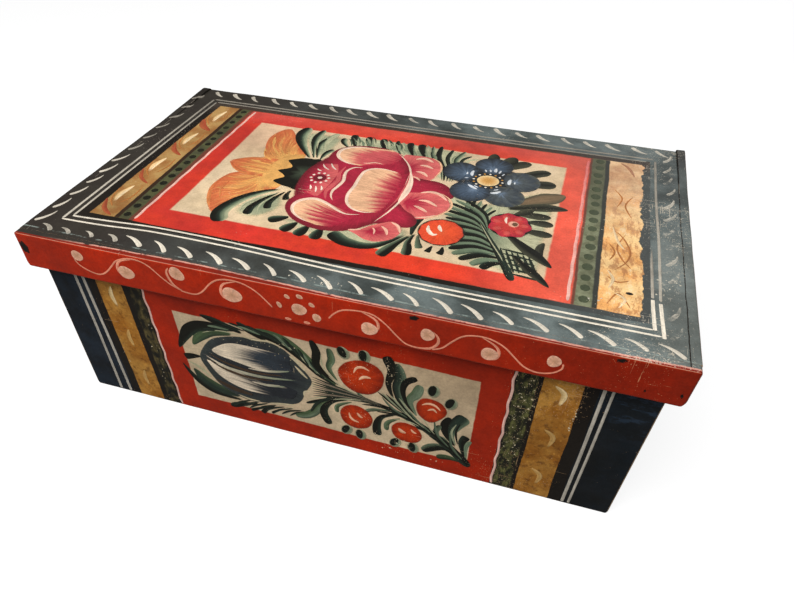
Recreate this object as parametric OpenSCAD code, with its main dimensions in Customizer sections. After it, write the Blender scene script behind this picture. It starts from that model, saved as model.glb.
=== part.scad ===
// Painted wooden box with a lid that turns on two iron pins.
// Six nailed boards make the box and its lid; a rail hangs from the lid's front edge
// and a batten from each end. The pins pass through the battens into the back board.
// The origin is under the middle of the closed box, X runs along the front, -Y is the front.

/* [Box] */
// Length of the box along its front
box_l = 328; // [240:1:420]
// Depth of the box from front to back
box_d = 204; // [150:1:280]
// Height of the box up to the closed lid
box_h = 111; // [80:1:160]
// Thickness of the wall boards
wall = 7; // [6:0.5:12]
// Thickness of the bottom board
bottom_t = 7; // [6:0.5:12]
// Round along the lower edges at both ends of the box
foot_r = 2.5; // [1:0.5:5]

/* [Lid] */
// Thickness of the lid board
lid_t = 6; // [5:0.5:10]
// Height of the front rail and of the end battens
skirt_h = 21; // [17:0.5:30]
// Thickness of the front rail
rail_t = 5; // [4:0.5:8]
// Round on the lower corners of the front rail
rail_r = 3; // [1:0.5:6]
// Thickness of the end battens
batten_t = 5; // [4.5:0.5:8]
// How far the battens run past the lid board at the back
batten_tail = 3; // [1:0.5:8]
// Round on the rear ends of the battens
batten_r = 6; // [2:0.5:8]
// How far the battens stand above the lid board at the back
batten_rise = 1.5; // [0:0.25:3]
// Length over which the battens rise above the lid board
batten_rise_l = 70; // [30:1:120]
// Play between the box and the rail and battens
lid_play = 1; // [0.5:0.25:2]
// Gap between the rim and the closed lid
seat_gap = 0.3; // [0.3:0.1:0.8]

/* [Hinge] */
// Diameter of the hinge pins
pin_d = 3; // [2:0.25:4]
// Length of each pin inside the back board
pin_grip = 20; // [12:1:30]
// Length of the point of each pin
pin_point = 4; // [2:0.5:6]
// Diameter of the pin heads
pin_head_d = 6; // [5:0.5:7]
// Thickness of the pin heads
pin_head_t = 1.2; // [0.8:0.1:1.6]
// Depth of the pin heads below the face of the battens
pin_sink = 0.3; // [0:0.1:0.6]
// Radial play of the battens on the pins
pin_play = 0.05; // [0.02:0.01:0.1]
// Play of the battens round the pin heads
pin_head_play = 0.3; // [0.2:0.1:0.6]
// Radial gap round the pins in the back board
pin_seat = 0.02; // [0.01:0.01:0.05]
// Gap between the rounded back rim and the lid board
hinge_gap = 1; // [0.5:0.25:2]

/* [Nails] */
// Length of the cut nails
nail_l = 24; // [18:1:32]
// Width of the nail shanks under the head
nail_w = 3.2; // [2.4:0.2:4]
// Width of the nail shanks at the tip
nail_tip_w = 1.4; // [1:0.2:2]
// Thickness of the nail shanks
nail_t = 1.8; // [1.2:0.2:2.4]
// Width of the nail heads
nail_head_w = 4.2; // [4:0.2:5]
// Breadth of the nail heads across the shank's thickness
nail_head_b = 2.8; // [2.4:0.2:3.6]
// Thickness of the nail heads
nail_head_t = 1; // [0.6:0.2:1.6]
// Depth of the nail heads below the wood
nail_sink = 0.2; // [0:0.1:0.5]
// Gap between a nail and its slot
nail_gap = 0.05; // [0.02:0.01:0.1]
// Space between a nail and the reach of the nails across the corner
nail_space = 10; // [5:1:20]
// Distance of the outer rail nails from the ends of the lid
rail_nail_end = 31; // [26:1:50]
// Distance of the inner rail nails from the middle of the lid
rail_nail_mid = 48; // [20:1:60]
// Distance of the corner nails from the bottom board and from the lid's skirt
corner_nail_space = 13; // [8:1:20]
// Number of nails up each corner of the box
corner_nails = 3; // [2:1:4]
// Number of nails along the front and the back edge of the bottom board
long_nails = 4; // [2:1:5]
// Number of nails along each end of the bottom board and of the lid board
end_nails = 3; // [2:1:4]

/* [Hidden] */
$fn = 64;
// Reach of a cut past the face that it opens
cut = 1;

// Depth, length and levels of the whole box, centred over the origin
all_d = rail_t + lid_play + box_d + batten_tail;
front_y = -all_d / 2;
face_y = front_y + rail_t + lid_play;
back_y = face_y + box_d;
tail_y = back_y + batten_tail;
end_x = box_l / 2;
lid_x = end_x + lid_play;
all_x = lid_x + batten_t;
lid_front_y = front_y + rail_t;
rim_z = box_h - seat_gap;
lid_top_z = box_h + lid_t;
skirt_z = lid_top_z - skirt_h;
batten_top_z = lid_top_z + batten_rise;

// Hinge axis, in the middle of the back board
pin_y = back_y - wall / 2;
pin_z = box_h - wall / 2 - hinge_gap;
pin_l = batten_t - pin_sink + lid_play + pin_grip;

// Places of the nails
function spread(count, low, high) = [for (i = [0 : count - 1]) low + (high - low) * i / (count - 1)];
nail_inset = wall + nail_l + nail_space;
corner_x = end_x - wall / 2;
corner_zs = spread(corner_nails, bottom_t + corner_nail_space, skirt_z - corner_nail_space);
bottom_z = bottom_t / 2;
bottom_xs = spread(long_nails, -end_x + nail_inset, end_x - nail_inset);
bottom_ys = spread(end_nails, face_y + nail_inset, back_y - nail_inset);
lid_nail_z = box_h + lid_t / 2;
rail_xs = [-all_x + rail_nail_end, -rail_nail_mid, rail_nail_mid, all_x - rail_nail_end];
batten_ys = spread(end_nails, front_y + rail_t + nail_l + nail_space, pin_y - nail_inset);
batten_x = lid_x + batten_t / 2;
skirt_mid_z = skirt_z + skirt_h / 2;

paint_blue = [0.13, 0.17, 0.22];
paint_red = [0.62, 0.13, 0.08];
paint_teal = [0.26, 0.31, 0.33];
bare_wood = [0.58, 0.44, 0.28];
iron = [0.16, 0.14, 0.13];

// A cut nail with its head at the origin, driven along -Z. A gap turns it into its slot.
module cut_nail(gap = 0) {
    over = gap > 0 ? nail_sink + cut : 0;
    translate([-nail_head_w / 2 - gap, -nail_head_b / 2 - gap, -nail_sink - nail_head_t - gap])
        cube([nail_head_w + 2 * gap, nail_head_b + 2 * gap, nail_head_t + gap + over]);
    rotate([90, 0, 0])
        linear_extrude(nail_t + 2 * gap, center = true)
            polygon([
                [-nail_w / 2 - gap, -nail_sink - nail_head_t],
                [-nail_tip_w / 2 - gap, -nail_l - gap],
                [nail_tip_w / 2 + gap, -nail_l - gap],
                [nail_w / 2 + gap, -nail_sink - nail_head_t]
            ]);
}

// Nails driven back from the front (side -1) or forward from the back (side 1)
module nails_along_y(side, y, xs, zs, gap = 0, roll = 0)
    for (x = xs, z = zs)
        translate([x, y, z]) rotate([-90 * side, 0, 0]) rotate([0, 0, roll]) cut_nail(gap);

// Nails driven inwards from the left (side -1) or the right (side 1)
module nails_along_x(side, x, ys, z, gap = 0)
    for (y = ys)
        translate([side * x, y, z]) rotate([0, 90 * side, 0]) rotate([0, 0, 90]) cut_nail(gap);

module corner_nail_set(side, gap = 0)
    nails_along_y(side, side < 0 ? face_y : back_y, [-corner_x, corner_x], corner_zs, gap);

module long_nail_set(side, gap = 0)
    nails_along_y(side, side < 0 ? face_y : back_y, bottom_xs, [bottom_z], gap);

module end_nail_set(side, gap = 0)
    nails_along_x(side, end_x, bottom_ys, bottom_z, gap);

module rail_nail_set(gap = 0) {
    nails_along_y(-1, front_y, rail_xs, [lid_nail_z], gap);
    nails_along_y(-1, front_y, [-batten_x, batten_x], [skirt_mid_z], gap, 90);
}

module batten_nail_set(side, gap = 0)
    nails_along_x(side, all_x, batten_ys, lid_nail_z, gap);

// Upright board outline whose two lower corners are rounded, from z low to high
module foot_outline(half, low, high, r) {
    translate([-half, low + r]) square([2 * half, high - low - r]);
    translate([-half + r, low]) square([2 * (half - r), high - low]);
    for (side = [-1, 1])
        translate([side * (half - r), low + r]) circle(r);
}

// A pin on the hinge axis, its head outside on the right and its point inwards
module pin_form(gap = 0) {
    r = pin_d / 2 + gap;
    translate([all_x - pin_sink, pin_y, pin_z]) rotate([0, -90, 0])
        rotate_extrude()
            polygon([
                [0, 0],
                [pin_head_d / 2, 0],
                [pin_head_d / 2, pin_head_t],
                [r, pin_head_t],
                [r, pin_l - pin_point],
                [0, pin_l + gap]
            ]);
}

// Bore and head recess that let the right batten turn on its pin
module pin_bore() {
    recess = pin_sink + pin_head_t + pin_head_play;
    translate([lid_x - cut, pin_y, pin_z]) rotate([0, 90, 0])
        cylinder(h = batten_t + 2 * cut, d = pin_d + 2 * pin_play);
    translate([all_x - recess, pin_y, pin_z]) rotate([0, 90, 0])
        cylinder(h = recess + cut, d = pin_head_d + 2 * pin_head_play);
}

module bottom_board() {
    color(bare_wood)
        difference() {
            translate([-end_x + wall, face_y + wall, 0])
                cube([box_l - 2 * wall, box_d - 2 * wall, bottom_t]);
            for (side = [-1, 1]) {
                long_nail_set(side, nail_gap);
                end_nail_set(side, nail_gap);
            }
        }
}

module front_board() {
    color(paint_red)
        difference() {
            translate([0, face_y + wall, 0]) rotate([90, 0, 0])
                linear_extrude(wall) foot_outline(end_x, 0, rim_z, foot_r);
            corner_nail_set(-1, nail_gap);
            long_nail_set(-1, nail_gap);
        }
}

// The back board's top is a half round about the hinge axis, so that the lid can turn over it
module back_board() {
    color(paint_blue)
        difference() {
            union() {
                translate([0, back_y, 0]) rotate([90, 0, 0])
                    linear_extrude(wall) foot_outline(end_x, 0, pin_z, foot_r);
                translate([-end_x, pin_y, pin_z]) rotate([0, 90, 0])
                    cylinder(h = box_l, d = wall);
            }
            corner_nail_set(1, nail_gap);
            long_nail_set(1, nail_gap);
            pin_form(pin_seat);
            mirror([1, 0, 0]) pin_form(pin_seat);
        }
}

// An end board on the left (side -1) or the right (side 1), between the front and the back
module end_board(side) {
    color(paint_blue)
        difference() {
            translate([0, back_y - wall, 0]) rotate([90, 0, 0])
                linear_extrude(box_d - 2 * wall)
                    intersection() {
                        foot_outline(end_x, 0, rim_z, foot_r);
                        translate([side * (end_x - wall / 2) - wall / 2, 0]) square([wall, rim_z]);
                    }
            corner_nail_set(-1, nail_gap);
            corner_nail_set(1, nail_gap);
            end_nail_set(side, nail_gap);
        }
}

module left_end_board() end_board(-1);

module right_end_board() end_board(1);

module front_corner_nails() color(iron) corner_nail_set(-1);

module back_corner_nails() color(iron) corner_nail_set(1);

module front_bottom_nails() color(iron) long_nail_set(-1);

module back_bottom_nails() color(iron) long_nail_set(1);

module left_bottom_nails() color(iron) end_nail_set(-1);

module right_bottom_nails() color(iron) end_nail_set(1);

module left_hinge_pin() color(iron) mirror([1, 0, 0]) pin_form();

module right_hinge_pin() color(iron) pin_form();

module lid_board() {
    color(paint_teal)
        difference() {
            translate([-lid_x, lid_front_y, box_h])
                cube([2 * lid_x, back_y - lid_front_y, lid_t]);
            rail_nail_set(nail_gap);
            batten_nail_set(-1, nail_gap);
            batten_nail_set(1, nail_gap);
        }
}

module lid_front_rail() {
    color(paint_red)
        difference() {
            translate([0, lid_front_y, 0]) rotate([90, 0, 0])
                linear_extrude(rail_t) foot_outline(all_x, skirt_z, lid_top_z, rail_r);
            rail_nail_set(nail_gap);
        }
}

// Side view of a batten: flush with the lid board in front, rising and rounded at the back
module batten_outline() {
    heel_y = tail_y - batten_r;
    polygon([
        [lid_front_y, skirt_z],
        [heel_y, skirt_z],
        [heel_y, batten_top_z],
        [tail_y - batten_rise_l, lid_top_z],
        [lid_front_y, lid_top_z]
    ]);
    translate([heel_y, skirt_z + batten_r]) square([batten_r, batten_top_z - skirt_z - 2 * batten_r]);
    translate([heel_y, skirt_z + batten_r]) circle(batten_r);
    translate([heel_y, batten_top_z - batten_r]) circle(batten_r);
}

// The right batten; the left one is its mirror image
module batten() {
    color(paint_red)
        difference() {
            translate([lid_x, 0, 0]) rotate([90, 0, 90])
                linear_extrude(batten_t) batten_outline();
            pin_bore();
            rail_nail_set(nail_gap);
            batten_nail_set(1, nail_gap);
        }
}

module lid_left_batten() mirror([1, 0, 0]) batten();

module lid_right_batten() batten();

module rail_nails() color(iron) rail_nail_set();

module left_batten_nails() color(iron) batten_nail_set(-1);

module right_batten_nails() color(iron) batten_nail_set(1);

bottom_board();
front_board();
back_board();
left_end_board();
right_end_board();
front_corner_nails();
back_corner_nails();
front_bottom_nails();
back_bottom_nails();
left_bottom_nails();
right_bottom_nails();
left_hinge_pin();
right_hinge_pin();
lid_board();
lid_front_rail();
lid_left_batten();
lid_right_batten();
rail_nails();
left_batten_nails();
right_batten_nails();
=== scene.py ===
"""Looks of the painted wooden box: worn boards, folk painting in brush strokes, nails and the stage."""

import math
import random

import bpy
from mathutils import Euler, Matrix, Vector, noise


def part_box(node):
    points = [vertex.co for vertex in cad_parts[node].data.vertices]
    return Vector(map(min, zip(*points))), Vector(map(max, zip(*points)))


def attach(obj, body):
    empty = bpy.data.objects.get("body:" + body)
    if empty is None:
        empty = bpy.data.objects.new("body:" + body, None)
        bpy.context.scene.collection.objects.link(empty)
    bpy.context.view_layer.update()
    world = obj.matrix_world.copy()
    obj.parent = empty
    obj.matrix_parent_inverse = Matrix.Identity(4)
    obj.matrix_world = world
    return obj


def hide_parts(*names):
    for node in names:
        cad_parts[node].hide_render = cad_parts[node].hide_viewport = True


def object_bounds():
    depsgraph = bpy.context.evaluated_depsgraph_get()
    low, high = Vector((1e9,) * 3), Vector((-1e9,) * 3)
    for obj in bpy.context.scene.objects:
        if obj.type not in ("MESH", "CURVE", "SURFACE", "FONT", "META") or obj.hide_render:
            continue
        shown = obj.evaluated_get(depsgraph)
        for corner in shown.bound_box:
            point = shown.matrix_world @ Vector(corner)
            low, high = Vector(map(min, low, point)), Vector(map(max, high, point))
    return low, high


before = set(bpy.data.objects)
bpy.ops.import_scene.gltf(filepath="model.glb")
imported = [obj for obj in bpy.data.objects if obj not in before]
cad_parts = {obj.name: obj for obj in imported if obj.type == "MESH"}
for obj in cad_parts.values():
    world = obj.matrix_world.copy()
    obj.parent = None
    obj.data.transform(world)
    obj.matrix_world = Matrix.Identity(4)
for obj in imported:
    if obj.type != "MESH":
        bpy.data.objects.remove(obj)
CAD_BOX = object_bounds()
LID_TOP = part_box("lid_board")[1].z
BATTEN_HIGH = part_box("lid_left_batten")[1]

bl_info = {
    "name": "Painted Wooden Box",
    "version": (1, 0, 0),
    "blender": (4, 5, 0),
    "location": "View3D > Sidebar > Painted Box",
    "description": "Builds the worn boards, brush strokes and ironwork of a folk-painted wooden box",
    "category": "Object",
}

MM = 0.001
PHOTO_WIDTH = 794
PHOTO_HEIGHT = 596
FAR_FROM_EDGE = 100.0
HEEL_ROUND = 6.0
HEEL_RUN = 70.0
HAND_WOBBLE = 0.8
PAINT_SHEEN = 0.11


def srgb(red, green, blue):
    """Linear colour of a screen colour given as 0 to 255."""
    def linear(value):
        share = value / 255
        return share / 12.92 if share <= 0.04045 else ((share + 0.055) / 1.055) ** 2.4
    return (linear(red), linear(green), linear(blue))


def colour_property(label, use, red, green, blue):
    """A colour that a user can change, given by its screen values."""
    return bpy.props.FloatVectorProperty(
        name=label, description=use, subtype="COLOR", size=3, min=0, max=1, default=srgb(red, green, blue))


def length_property(label, use, millimetres):
    """A length in millimetres that a user can change."""
    return bpy.props.FloatProperty(name=label, description=use, default=millimetres, min=0)


class BoxColours(bpy.types.PropertyGroup):
    """Paint, wood and iron colours of the box."""
    red: colour_property("Red", "Frame on the lid", 228, 62, 36)
    # Darker copy of the lid's red for the front rail and the frame on the front: partly painted shade.
    front_red_with_shade: colour_property("Deep red", "Front rail and the frame on the front", 188, 42, 8)
    cream: colour_property("Cream", "Panels behind the flowers", 226, 200, 164)
    slate: colour_property("Slate", "Borders of the lid", 54, 50, 44)
    navy: colour_property("Navy", "The blue flower and the tulip", 56, 64, 72)
    night: colour_property("Night blue", "Walls of the box", 26, 38, 50)
    black: colour_property("Black", "Bands between the strips", 26, 21, 17)
    ochre: colour_property("Ochre", "Strips on the front", 194, 140, 62)
    moss: colour_property("Moss", "Dotted strips", 86, 88, 54)
    line: colour_property("Line white", "Lines, commas and scrolls", 237, 226, 206)
    crimson: colour_property("Crimson", "Body of the rose", 172, 36, 60)
    pink: colour_property("Pink", "Light petals of the rose", 226, 116, 110)
    blush: colour_property("Blush", "Palest petals of the rose", 240, 190, 160)
    orange: colour_property("Orange", "Small round flowers", 232, 82, 44)
    yellow: colour_property("Yellow", "Feathered flower", 220, 164, 92)
    coral: colour_property("Coral", "Tips of the feathered flower", 198, 104, 62)
    leaf: colour_property("Leaf", "Shaded side of the leaves", 22, 23, 17)
    pine: colour_property("Pine", "Between the dark and the lit side of the leaves", 42, 56, 46)
    sage: colour_property("Sage", "Middle of the leaves", 110, 126, 100)
    mist: colour_property("Mist", "Lit side of the leaves", 184, 182, 146)
    wood: colour_property("Bare wood", "Boards where they are not painted", 172, 128, 82)
    iron: colour_property("Iron", "Nails and hinge pins", 74, 58, 48)


class BoxSizes(bpy.types.PropertyGroup):
    """Sizes of the wear and of the painted ornament, in millimetres."""
    edge_round: length_property("Edge round", "Radius that wear has left on a board's edge", 0.6)
    cell: length_property("Cell", "Spacing of the mesh over a board", 3.0)
    paint_lift: length_property("Paint lift", "Height of a stroke above the board", 0.03)
    paint_bead: length_property("Paint bead", "Extra height in the middle of a stroke", 0.002)
    comma_length: length_property("Comma length", "Length of a border stroke", 14.0)
    comma_width: length_property("Comma width", "Width of a border stroke", 3.5)
    dot_width: length_property("Dot width", "Width of a dot on the moss strips", 5.6)
    line_width: length_property("Line width", "Width of the double lines", 1.8)


class BoxStage(bpy.types.PropertyGroup):
    """Camera and light."""
    focal: bpy.props.FloatProperty(
        name="Focal length", description="In pixels of the photograph", default=607.9, min=1)
    key_power: bpy.props.FloatProperty(
        name="Key", description="Power of the lamp above", default=20, min=0, subtype="POWER")
    rim_power: bpy.props.FloatProperty(
        name="Rim", description="Power of the lamp behind", default=3, min=0, subtype="POWER")
    sky: bpy.props.FloatProperty(name="Sky", description="Strength of the even light", default=0.3, min=0)


def colours():
    return bpy.context.scene.box_colours


def sizes():
    return bpy.context.scene.box_sizes


# Small helpers

def blend(first, second, share):
    return tuple(a + (b - a) * share for a, b in zip(first, second))


def ramp_colour(stops, place):
    """Colour at a place along stops, a list of (place, colour)."""
    for (low, first), (high, second) in zip(stops, stops[1:]):
        if place <= high:
            return blend(first, second, max(0.0, (place - low) / (high - low)))
    return tuple(stops[-1][1])


def evenly(tones):
    """Stops spread evenly over 0 to 1."""
    if len(tones) == 1:
        tones = [tones[0], tones[0]]
    return [(i / (len(tones) - 1), tuple(tone)) for i, tone in enumerate(tones)]


def shares(count, rim):
    """Places from 0 to 1 with one more close to each end."""
    inner = [rim + (1 - 2 * rim) * k / (count - 2) for k in range(count - 1)]
    return [0.0, *inner, 1.0]


def smooth_curve(points, count, closed=False):
    """Points on a smooth curve through the given ones."""
    given = [Vector(p) for p in points]
    total = len(given)
    spans = total if closed else total - 1
    found = []
    for i in range(count):
        place = i / (count if closed else count - 1) * spans
        k = min(int(place), spans - 1)
        t = place - k
        if closed:
            a, b, c, d = (given[(k + step) % total] for step in (-1, 0, 1, 2))
        else:
            a, b, c, d = (given[min(max(k + step, 0), total - 1)] for step in (-1, 0, 1, 2))
        bend = 2 * a - 5 * b + 4 * c - d
        twist = 3 * b - a - 3 * c + d
        found.append(0.5 * (2 * b + (c - a) * t + bend * t * t + twist * t ** 3))
    return found


def ring(centre, half_u, half_v, count, shift=0.0):
    """Places spread evenly round an oval."""
    angles = [2 * math.pi * (k + shift) / count for k in range(count)]
    return [(centre[0] + half_u * math.cos(a), centre[1] + half_v * math.sin(a)) for a in angles]


def wavering(start, end, count, sway, pace):
    """Places along a straight line that strays a little to its sides."""
    found = []
    for k in range(count):
        share = k / (count - 1)
        u, v = (low + (high - low) * share for low, high in zip(start, end))
        found.append((u + sway * math.sin(pace * k), v))
    return found


def add_piece(name, mesh, body, slot, *nodes):
    """Puts a mesh into the scene, riding on a body. A film of paint has no node and casts no shadow."""
    piece = bpy.data.objects.new(name, mesh)
    piece.visible_shadow = bool(nodes)
    bpy.context.scene.collection.objects.link(piece)
    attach(piece, body)
    if nodes:
        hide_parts(*nodes)
    return piece


# Brush strokes

def comma(t):
    """Round head and a long tail."""
    head = 0.14
    if t < head:
        return math.sqrt(max(0.0, 1 - (1 - t / head) ** 2))
    return (1 - ((t - head) / (1 - head)) ** 1.5) ** 0.9


def leaf(t):
    """Pointed at both ends."""
    return max(0.0, math.sin(math.pi * t)) ** 0.75


def blade(t):
    """Pointed at both ends, fullest near its start."""
    return max(0.0, math.sin(math.pi * t ** 0.6)) ** 0.8


def line(t):
    """Even, with short round ends."""
    end = min(t, 1 - t) / 0.03
    return 1.0 if end >= 1 else math.sqrt(max(0.0, 1 - (1 - end) ** 2))


def swelling(t):
    """Thin at its start, full at its end."""
    return 0.3 + 0.7 * t if t < 0.93 else math.sqrt(max(0.0, (1 - t) / 0.07))


DRY_END = {comma: 0.25, leaf: 0.14, blade: 0.12, line: 0.02, swelling: 0.1}


class Canvas:
    """Brush strokes on one painted face, gathered into one mesh. Places are in millimetres on the face."""

    sink = 0.03
    step_up = 0.0009
    soft = 0.55
    step_length = 1.1
    column_width = 0.7
    crowded_ends = 0.11
    wet_start = 0.015
    bristle_shift = 7.3

    def __init__(self, origin, across, up, seed):
        self.origin = Vector(origin)
        self.across = Vector(across)
        self.up = Vector(up)
        self.out = self.across.cross(self.up)
        self.points = []
        self.looks = []
        self.faces = []
        self.smooth = []
        self.dice = random.Random(seed)
        self.laid = 0

    def lift(self):
        """Height of the next stroke, a little above the last one."""
        self.laid += 1
        return sizes().paint_lift + self.laid * self.step_up

    def point(self, u, v, height, tint, cover, along, aside):
        """Adds a point with its colour, how far paint covers it, and its place among the bristles."""
        self.points.append(self.origin + (self.across * u + self.up * v + self.out * height) * MM)
        self.looks.append((tint, cover, (along, aside, self.bristle_shift * self.laid)))
        return len(self.points) - 1

    def face(self, corners, smooth):
        self.faces.append(corners)
        self.smooth.append(smooth)

    def lay(self, rows, wrap):
        """Adds rows of points as a closed film: its top, its sides sunk in the board, and its underside."""
        wide = len(rows[0])
        last = len(rows) - 1
        top = [[self.point(*spot) for spot in row] for row in rows]
        for one, two in zip(top, top[1:]):
            for j in range(wide if wrap else wide - 1):
                self.face([one[j], two[j], two[(j + 1) % wide], one[(j + 1) % wide]], True)
        if wrap:
            loop = [(last, j) for j in range(wide)]
        else:
            loop = [(i, 0) for i in range(last)] + [(last, j) for j in range(wide - 1)]
            loop += [(i, wide - 1) for i in range(last, 0, -1)] + [(0, j) for j in range(wide - 1, 0, -1)]
        under = {}
        for i, j in loop:
            u, v, _, tint, _, along, aside = rows[i][j]
            under[i, j] = self.point(u, v, -self.sink, tint, 0.0, along, aside)
        for one, two in zip(loop, loop[1:] + loop[:1]):
            self.face([top[two[0]][two[1]], top[one[0]][one[1]], under[one], under[two]], False)
        if wrap:
            self.face(top[0], True)
            self.face([under[spot] for spot in reversed(loop)], False)
            return
        for i in range(last):
            near = [under[0, j] for j in range(1, wide - 1)] if i == 0 else []
            far = [under[last, j] for j in range(wide - 2, 0, -1)] if i == last - 1 else []
            right = [under[i, wide - 1], under[i + 1, wide - 1]]
            self.face([under[i + 1, 0], under[i, 0], *near, *right, *far], False)

    def brush(self, points, width, tones, shape=comma, tail=None, streak=0.1, dry=None, soft=None):
        """A stroke along points. Tones run from its left edge to its right one, tail tones at its end."""
        lift = self.lift()
        bead = sizes().paint_bead
        rough = smooth_curve(points, 12)
        length = sum((b - a).length for a, b in zip(rough, rough[1:]))
        steps = max(10, min(90, int(length / self.step_length)))
        fine = smooth_curve(points, 8 * steps + 1)
        places = [
            k / steps - self.crowded_ends * math.sin(2 * math.pi * k / steps) for k in range(steps)] + [1.0]
        path = [fine[round(8 * steps * t)] for t in places]
        columns = max(4, min(10, int(width / self.column_width)))
        across = shares(columns, min(0.4, (soft or self.soft) / width))
        streaks = [1 + streak * self.dice.uniform(-1, 1) for _ in across]
        heads = evenly(tones)
        tails = evenly(tail or tones)
        dry = DRY_END[shape] if dry is None else dry
        rows = []
        for i, (t, point) in enumerate(zip(places, path)):
            forward = (path[min(i + 1, steps)] - path[max(i - 1, 0)]).normalized()
            left = Vector((-forward.y, forward.x))
            half = max(0.03, width / 2 * shape(t))
            wet = min(1.0, (1 - t) / dry, t / self.wet_start)
            row = []
            for j, share in enumerate(reversed(across)):
                side = 1 - 2 * share
                cover = 0.0 if abs(side) == 1 else wet
                spot = point + left * side * half
                tint = blend(ramp_colour(heads, share), ramp_colour(tails, share), t)
                tint = tuple(part * streaks[j] for part in tint)
                row.append(
                    (spot.x, spot.y, lift + bead * (1 - side * side), tint, cover, t * length, side * half))
            rows.append(row)
        self.lay(rows, False)

    def strokes(self, rows, **look):
        """Several strokes. Each row says what differs: points and width, then perhaps tones and shape."""
        for row in rows:
            self.brush(*row, **look)

    def loft(self, first, second, tones, streak=0.06, feather=0.12):
        """A shape between two curves whose tones are drawn out from the first curve to the second."""
        lift = self.lift()
        bead = sizes().paint_bead
        steps = 48
        across = shares(11, 0.05)
        near = smooth_curve(first, steps + 1)
        far = smooth_curve(second, steps + 1)
        stops = evenly(tones)
        rows = []
        turned = 0.0
        for i in range(steps + 1):
            forward = near[min(i + 1, steps)] - near[max(i - 1, 0)]
            over = far[i] - near[i]
            turned += forward.x * over.y - forward.y * over.x
            slip = feather * self.dice.uniform(-1, 1)
            shade = 1 + streak * self.dice.uniform(-1, 1)
            row = []
            for share in across:
                cover = 0.0 if i in (0, steps) or share in (0, 1) else 1.0
                spot = near[i] + over * share
                tint = ramp_colour(stops, min(1.0, max(0.0, share + slip * min(1.0, 3 * share))))
                tint = tuple(part * shade for part in tint)
                height = lift + bead * 4 * share * (1 - share)
                row.append((spot.x, spot.y, height, tint, cover, share * over.length, i))
            rows.append(row)
        if turned < 0:
            rows.reverse()
        self.lay(rows, False)

    def petal(self, outline, focus, tones, streak=0.08, count=40, rings=7, feather=0.0, soft=None):
        """A filled shape whose tones run from the focus to the rim."""
        lift = self.lift()
        bead = sizes().paint_bead
        start = 0.06
        rim = smooth_curve(outline, count, closed=True)
        area = sum(a.x * b.y - b.x * a.y for a, b in zip(rim, rim[1:] + rim[:1]))
        if area < 0:
            rim.reverse()
        middle = Vector(focus)
        reach = sum((point - middle).length for point in rim) / count
        full = 1 - min(0.85, (soft or self.soft) / reach)
        stops = evenly(tones)
        streaks = [1 + streak * self.dice.uniform(-1, 1) for _ in range(count)]
        slips = [feather * self.dice.uniform(-1, 1) for _ in range(count)]
        rows = []
        for level in range(rings + 1):
            share = 1.0 if level == rings else start + (full - start) * level / max(1, rings - 1)
            cover = 0.0 if level == rings else 1.0
            height = lift + bead * (1 - share * share)
            row = []
            for j, point in enumerate(rim):
                spot = middle + (point - middle) * share
                tint = ramp_colour(stops, min(1.0, max(0.0, share + slips[j])))
                tint = tuple(part * streaks[j] for part in tint)
                row.append((spot.x, spot.y, height, tint, cover, share * reach, j * 6.3 * reach / count))
            rows.append(row)
        self.lay(rows, True)

    def dot(self, u, v, half_u, half_v, tones, turn=0.0, lobes=0, depth=0.0, count=28, rings=4, soft=None):
        """A round or lobed dab of paint."""
        outline = []
        corners = max(8, 4 * lobes)
        for k in range(corners):
            angle = 2 * math.pi * k / corners
            reach = 1 + depth * math.cos(lobes * angle)
            x = half_u * reach * math.cos(angle)
            y = half_v * reach * math.sin(angle)
            aside = x * math.cos(turn) - y * math.sin(turn)
            along = x * math.sin(turn) + y * math.cos(turn)
            outline.append((u + aside, v + along))
        self.petal(outline, (u, v), tones, count=count, rings=rings, soft=soft)

    def specks(self, tones, places):
        """Small ragged spots of lost paint. Each place has its centre, its spread and a count of spots."""
        for centre, spread, count in places:
            for _ in range(count):
                size = 0.25 + 0.7 * self.dice.random() ** 3
                u = centre[0] + spread[0] * self.dice.triangular(-1, 1)
                v = centre[1] + spread[1] * self.dice.triangular(-1, 1)
                tall = size * self.dice.uniform(0.5, 1.6)
                turn = self.dice.uniform(0, 3)
                self.dot(u, v, size, tall, tones, turn, lobes=3, depth=0.25, count=12, rings=1, soft=0.2)

    def plume(self, tips, roots, count, bend, width, tones, tail):
        """Many narrow strokes from a curve of tips to a curve of roots, in no strict order."""
        turns = [(k + self.dice.uniform(0.2, 0.8)) / count for k in range(count)]
        self.dice.shuffle(turns)
        samples = 60
        outer = smooth_curve(tips, samples)
        inner = smooth_curve(roots, samples)
        for turn in turns:
            k = int(turn * (samples - 1))
            way = inner[k] - outer[k]
            start = outer[k] + way * self.dice.uniform(0.05, 0.4)
            side = Vector((-way.y, way.x))
            middle = (start + inner[k]) / 2 + side * bend * self.dice.uniform(0.7, 1.3)
            tone = ramp_colour(evenly(tones), self.dice.random())
            root = ramp_colour(evenly(tail), self.dice.random())
            size = width * self.dice.uniform(0.6, 1.2)
            self.brush(
                [start, middle, inner[k]], size, [tone], tail=[root], shape=leaf, streak=0.05, dry=0.4,
                soft=1.1)

    def mesh(self, name, material):
        """The strokes as one mesh, with colours, cover and bristle places in its attributes."""
        made = bpy.data.meshes.new(name)
        made.from_pydata(self.points, [], self.faces)
        made.polygons.foreach_set("use_smooth", self.smooth)
        tints = made.color_attributes.new(name="paint", type="FLOAT_COLOR", domain="POINT")
        tints.data.foreach_set("color", [c for tint, _, _ in self.looks for c in (*tint, 1.0)])
        cover = made.attributes.new("cover", "FLOAT", "POINT")
        cover.data.foreach_set("value", [look[1] for look in self.looks])
        bristle = made.attributes.new("bristle", "FLOAT_VECTOR", "POINT")
        bristle.data.foreach_set("vector", [c for look in self.looks for c in look[2]])
        made.materials.append(material)
        return made


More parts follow.
